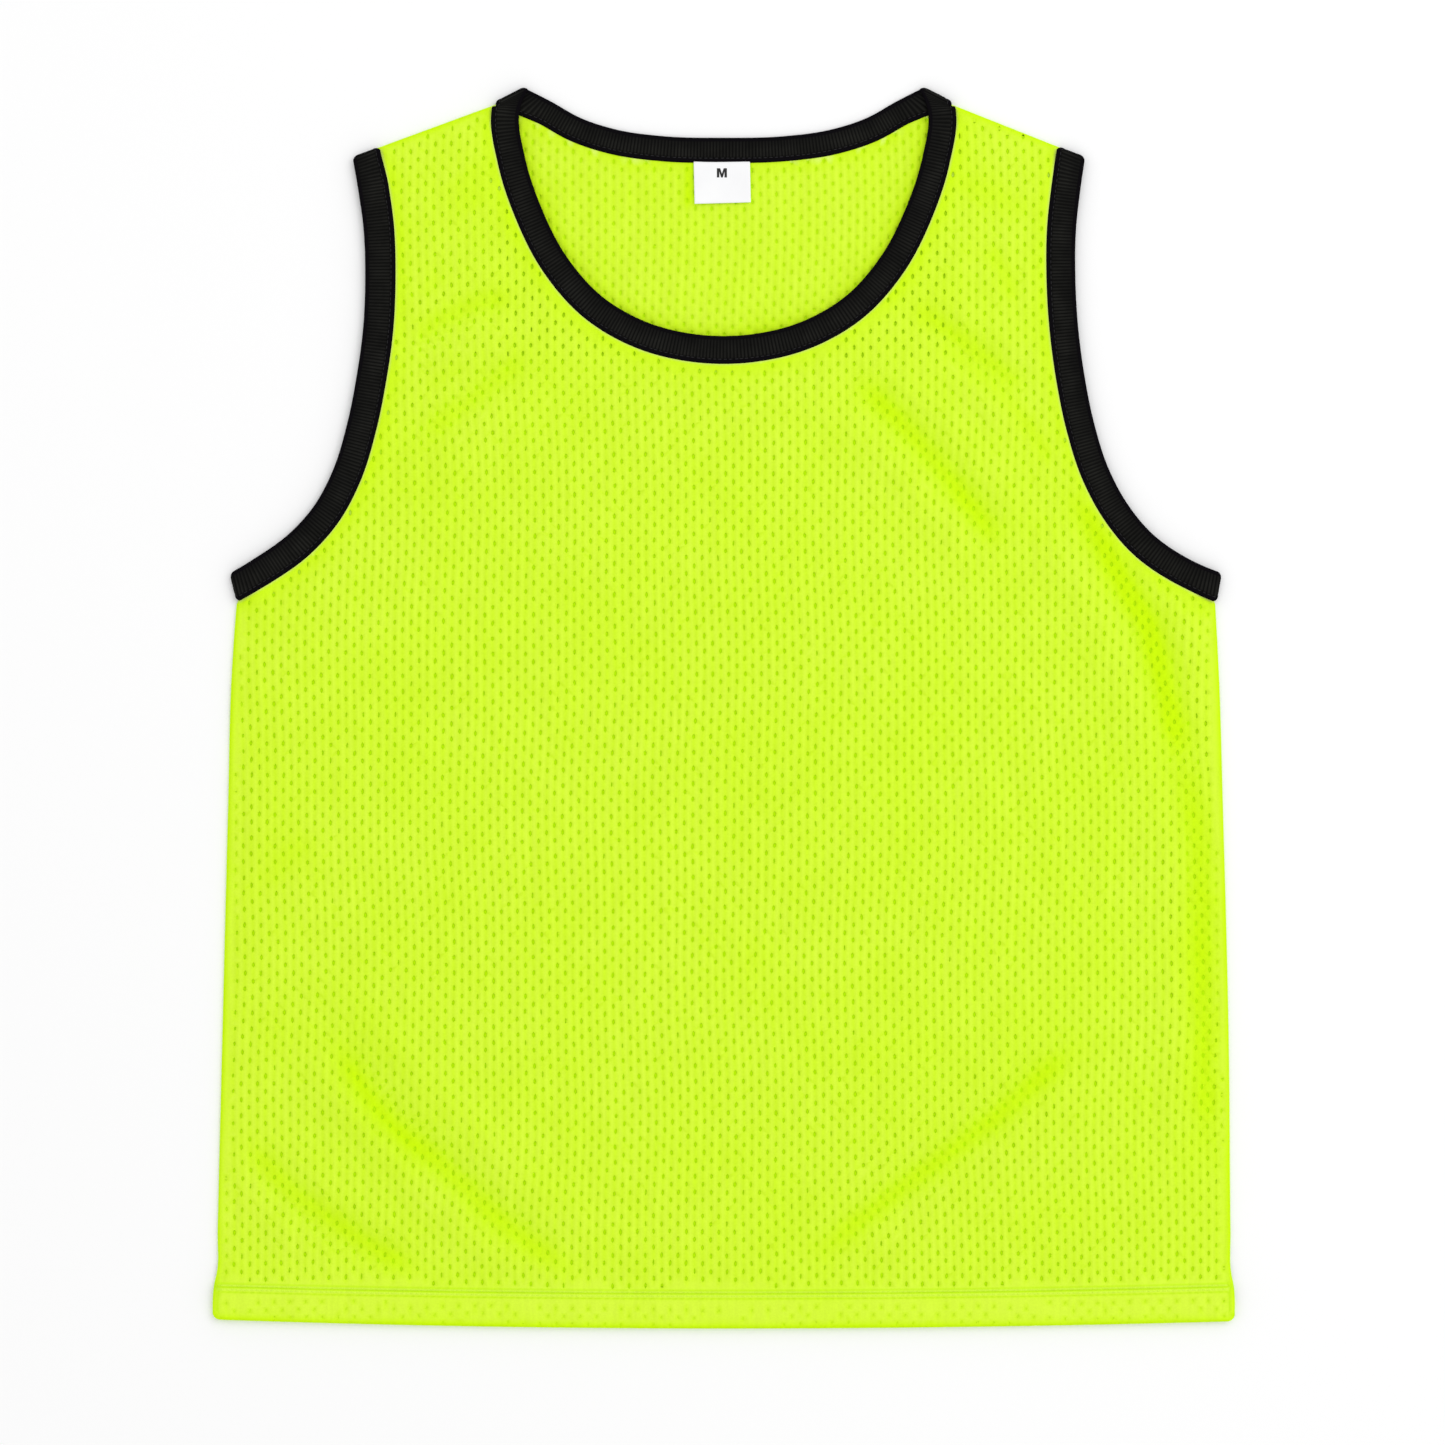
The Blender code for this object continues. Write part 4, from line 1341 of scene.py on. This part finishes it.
fine = allStrips(binding["pitch"] / binding["cuts"])
rings = [
    ("neck_rib_binding", fine["front"], reverse(fine["back"]), "neck_binding"),
    ("left_arm_rib_binding", fine["left"], reverse(fine["left"]), "left_arm_binding"),
    ("right_arm_rib_binding", fine["right"], reverse(fine["right"]), "right_arm_binding"),
]
for name, ahead, behind, node in rings:
    piece, place, across, normal, width = bindingRing(name, ahead, behind, node)
    seat = place + across * (width - binding["stitchIn"])[:, None]
    out, spec = normal * binding["stitchOut"], binding["stitch"]
    rows = [stitchRow(name + "_stitches", seat + out, normal, spec, blackThread)]
    if node == "neck_binding":  # the back strip's inner face shows in the neck
        last = len(fine["front"][0]) + binding["turns"]
        back = slice(last, last + len(fine["back"][0]))
        inner = (seat - out)[back]
        rows.append(stitchRow(name + "_inner_stitches", inner, -normal[back], spec, blackThread))
print("bindings made")


# Twin rows of sewing along each hem
hemThread = {
    "rows": {"upper": 0.8, "lower": 2.75},  # how far below the hem's top edge
    "span": (-251.5, 251.5),
    "pitch": 2.5,
    "long": 2.45,
    "wide": {"upper": 0.22, "lower": 0.42},  # on the front; the back's are all of one width
    "backWide": 0.2,
    "frontLift": 0.05,
    "backLowest": 0.22,
}
hemRowsMade = {"front": [], "back": []}
for row, below in hemThread["rows"].items():
    x = np.arange(*hemThread["span"], 1.0)
    plan = np.stack([x, hemEdge(x) - below], axis=1)
    up = np.tile((0.0, 0.0, 1.0), (len(x), 1))
    upper = frontLay(plan) + hemThread["frontLift"]
    lower = np.maximum(backUnder(plan), hemThread["backLowest"])
    faces = (
        ("front", upper, up, hemThread["wide"][row]),
        ("back", lower, -up, hemThread["backWide"]),
    )
    for face, high, outward, wide in faces:
        spec = {"pitch": hemThread["pitch"], "long": hemThread["long"], "wide": wide}
        path, name = np.column_stack([plan, high]), f"{face}_hem_stitches_{row}"
        hemRowsMade[face].append(stitchRow(name, path, outward, spec, neonThread))

hemTurning = {
    "rows": [(0.0, 3.3), (0.25, 2.8), (0.9, 2.45), (2.5, 2.33), (6.0, 2.32)],  # inward, height
    "cornerFrom": 250.0,  # beyond this it draws in from the sides too
    # the turned cloth's colour: some column, and painted shade under the hem's fold
    "column": 0.4,
    "creaseShade": 0.8,
}


def frontHemReturn():  # the hem's cloth, turned under its lower fold
    line, rows = hemBottom(3.0), hemTurning["rows"]
    inward = np.stack([-line[:, 0] / 255.5, np.ones(len(line))], axis=1)
    inward[np.abs(line[:, 0]) < hemTurning["cornerFrom"], 0] = 0
    points = np.concatenate(
        [np.column_stack([line + inward * away, np.full(len(line), high)]) for away, high in rows]
    )
    faces = gridFaces(np.arange(len(points)).reshape(len(rows), len(line)).T)
    values = {key: np.full(len(points), hemTurning[key]) for key in ("column", "creaseShade")}
    square = squareOf(points)
    return addMesh("front_hem_return", points, [faces], neonMesh, values, [square[faces]])


hemReturn = frontHemReturn()
print("hems sewn")


# Size label: a folded satin loop sewn in under the back of the neck
label = {
    "corners": [(-14.5, 251.8), (13.5, 252.6), (13.1, 273.6), (-15.0, 273.6)],
    "wide": 28.3,
    "long": 21.0,
    "height": 2.3,
    "thick": 0.45,
    "edgeRound": 0.25,
    "foldRound": 0.5,
    "leftCurl": (0.35, 0.16),  # how high it stands, over what share of the width
    "rightCurl": (0.25, 0.12),
    "foldCurl": (0.2, 0.2),
    "wave": 0.12,
    "seamDown": 1.9,  # the stitched line below its top, and its depth and half width
    "seam": (0.16, 0.35),
    "tuck": (0.9, 1.6),  # how far its top dips under the binding, and over what length
    "acrossSteps": ([0.0, 0.012, 0.035], (0.08, 0.92, 22), [0.965, 0.988, 1.0]),
    "upSteps": ([0.0, 0.015, 0.045], (0.1, 0.82, 14), (0.86, 1.0, 12)),
}


def labelPoint(u, v):
    u, v, corners = u[:, None], v[:, None], np.array(label["corners"])
    low = corners[0] * (1 - u) + corners[1] * u
    high = corners[3] * (1 - u) + corners[2] * u
    return low * (1 - v) + high * v


def labelHeight(u, v):
    fromTop = (1 - v) * label["long"]
    curl, reach = label["leftCurl"]
    high = label["height"] + curl * bell(u, reach) * (1 - v * 0.6)
    curl, reach = label["rightCurl"]
    high = high + curl * bell(1 - u, reach) * smoothStep((1 - v) * 1.6)
    curl, reach = label["foldCurl"]
    high = high + label["wave"] * np.sin(u * 5.0 + v * 3.0) + curl * bell(v, reach)
    deep, half = label["seam"]
    high = high - deep * bell(fromTop - label["seamDown"], half)
    dip, reach = label["tuck"]
    return high - dip * (1 - smoothStep(fromTop / reach))


def labelSteps(parts):
    return np.concatenate([np.linspace(*p) if isinstance(p, tuple) else p for p in parts])


def sizeLabel():
    across, up = labelSteps(label["acrossSteps"]), labelSteps(label["upSteps"])
    v, u = [g.ravel() for g in np.meshgrid(up, across, indexing="ij")]
    sideRound = rounded(np.minimum(u, 1 - u) * label["wide"], label["edgeRound"])
    edge = sideRound * rounded(v * label["long"], label["foldRound"])
    high = labelHeight(u, v) - label["thick"] / 2 * (1 - edge)
    plan = labelPoint(u, v)
    points = [np.column_stack([plan, high]), np.column_stack([plan, high - label["thick"] * edge])]
    grid = np.arange(len(u)).reshape(len(up), len(across))
    upper = gridFaces(grid)
    ring = np.concatenate([grid[0], grid[1:, -1], grid[-1, -2::-1], grid[-2:0:-1, 0]])
    after = np.roll(ring, -1)
    rim = np.stack([ring, ring + len(u), after + len(u), after], axis=1)
    faceSets = [upper, upper[:, ::-1] + len(u), rim]
    piece = addMesh("size_label_ribbon", np.concatenate(points), faceSets, whiteSatin)
    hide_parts("size_label")
    return piece


letterCut = {
    "stroke": [  # a generic medium mark, mm from its lower left corner
        (0.0, 0.0),
        (0.0, 4.6),
        (1.6, 4.6),
        (2.5, 1.9),
        (3.4, 4.6),
        (5.0, 4.6),
        (5.0, 0.0),
        (3.8, 0.0),
        (3.8, 2.9),
        (2.95, 0.0),
        (2.05, 0.0),
        (1.2, 2.9),
        (1.2, 0.0),
    ],
    "place": (-3.4, 265.0),
    "labelFrom": (-14.75, 252.2),  # the label's lower left and its size, where the letter is
    "labelSpan": (28.1, 21.4),
    "lift": 0.06,
}


def sizeLetter():  # flat on the ribbon
    stroke = letterCut["stroke"]
    outline = []
    for (x0, y0), (x1, y1) in zip(stroke, stroke[1:] + stroke[:1]):
        for share in np.linspace(0, 1, 5)[:-1]:
            outline.append((x0 + (x1 - x0) * share, y0 + (y1 - y0) * share))
    outline = np.array(outline) + letterCut["place"]
    kept = [(i, (i + 1) % len(outline)) for i in range(len(outline))]
    flat, _, faces, *_ = delaunay_2d_cdt([Vector(p) for p in outline], kept, [], 1, 1e-5)
    flat = np.array([tuple(p) for p in flat])
    u, v = ((flat - letterCut["labelFrom"]) / letterCut["labelSpan"]).T
    high = labelHeight(u, v) + letterCut["lift"]
    return addMesh("size_letter", np.column_stack([flat, high]), [np.array(faces)], printedInk())


ribbon = sizeLabel()
letter = sizeLetter()
print("label made")


def plannedArea(outline):
    x, y = outline[:, 0], outline[:, 1]
    return abs((x * np.roll(y, -1) - np.roll(x, -1) * y).sum()) / 2 * mm * mm


frontArea = plannedArea(panelOutline("front"))
backArea = plannedArea(panelOutline("back"))


# Floor and light
studio = {
    "floor": ("fbfbfb", "fcfcfc"),
    "cloud": 500.0,
    "floorHalf": 12.0,  # metres from the middle to each side, and how far below the bib it lies
    "floorDrop": 0.00002,
    "world": 0.885,
    "key": 19.0,
    "keySize": 2.6,
    "keyPlace": (1.4, 1.1, 2.3),
}


def addFloor():
    m = newMaterial("background_paper_matt_white")
    place = addNode(m, "TexCoord").outputs["Object"]
    cloud = addNode(m, "TexNoise", {"Vector": place, "Scale": cells(studio["cloud"])})
    one, other = [linear(code) for code in studio["floor"]]
    tone = addNode(m, "Mix", {0: cloud.outputs["Fac"], 6: one, 7: other}, data_type="RGBA")
    finishMaterial(m, {"Base Color": tone.outputs[2], "Roughness": 0.9, "Specular IOR Level": 0.1})
    half, down = studio["floorHalf"], -studio["floorDrop"]
    corners = [(-half, -half, down), (half, -half, down), (half, half, down), (-half, half, down)]
    mesh = bpy.data.meshes.new("studio_floor")
    mesh.from_pydata(corners, [], [(0, 1, 2, 3)])
    mesh.materials.append(m)
    floor = bpy.data.objects.new("studio_floor", mesh)
    bpy.context.scene.collection.objects.link(floor)


def addLight():
    world = bpy.data.worlds.new("softWhiteRoom")
    world.use_nodes = True
    world.node_tree.nodes["Background"].inputs["Color"].default_value = (1.0, 1.0, 1.0, 1.0)
    world.node_tree.nodes["Background"].inputs["Strength"].default_value = studio["world"]
    bpy.context.scene.world = world
    data = bpy.data.lights.new("softbox", "AREA")
    data.shape = "DISK"
    data.size = studio["keySize"]
    data.energy = studio["key"]
    box = bpy.data.objects.new("softbox", data)
    box.location = studio["keyPlace"]
    aim = Vector((0.0, 0.0, 0.0)) - box.location
    box.rotation_mode = "QUATERNION"
    box.rotation_quaternion = aim.to_track_quat("-Z", "Y")
    bpy.context.scene.collection.objects.link(box)
    bpy.context.scene.view_settings.view_transform = "Standard"


addFloor()
addLight()
print("studio set")
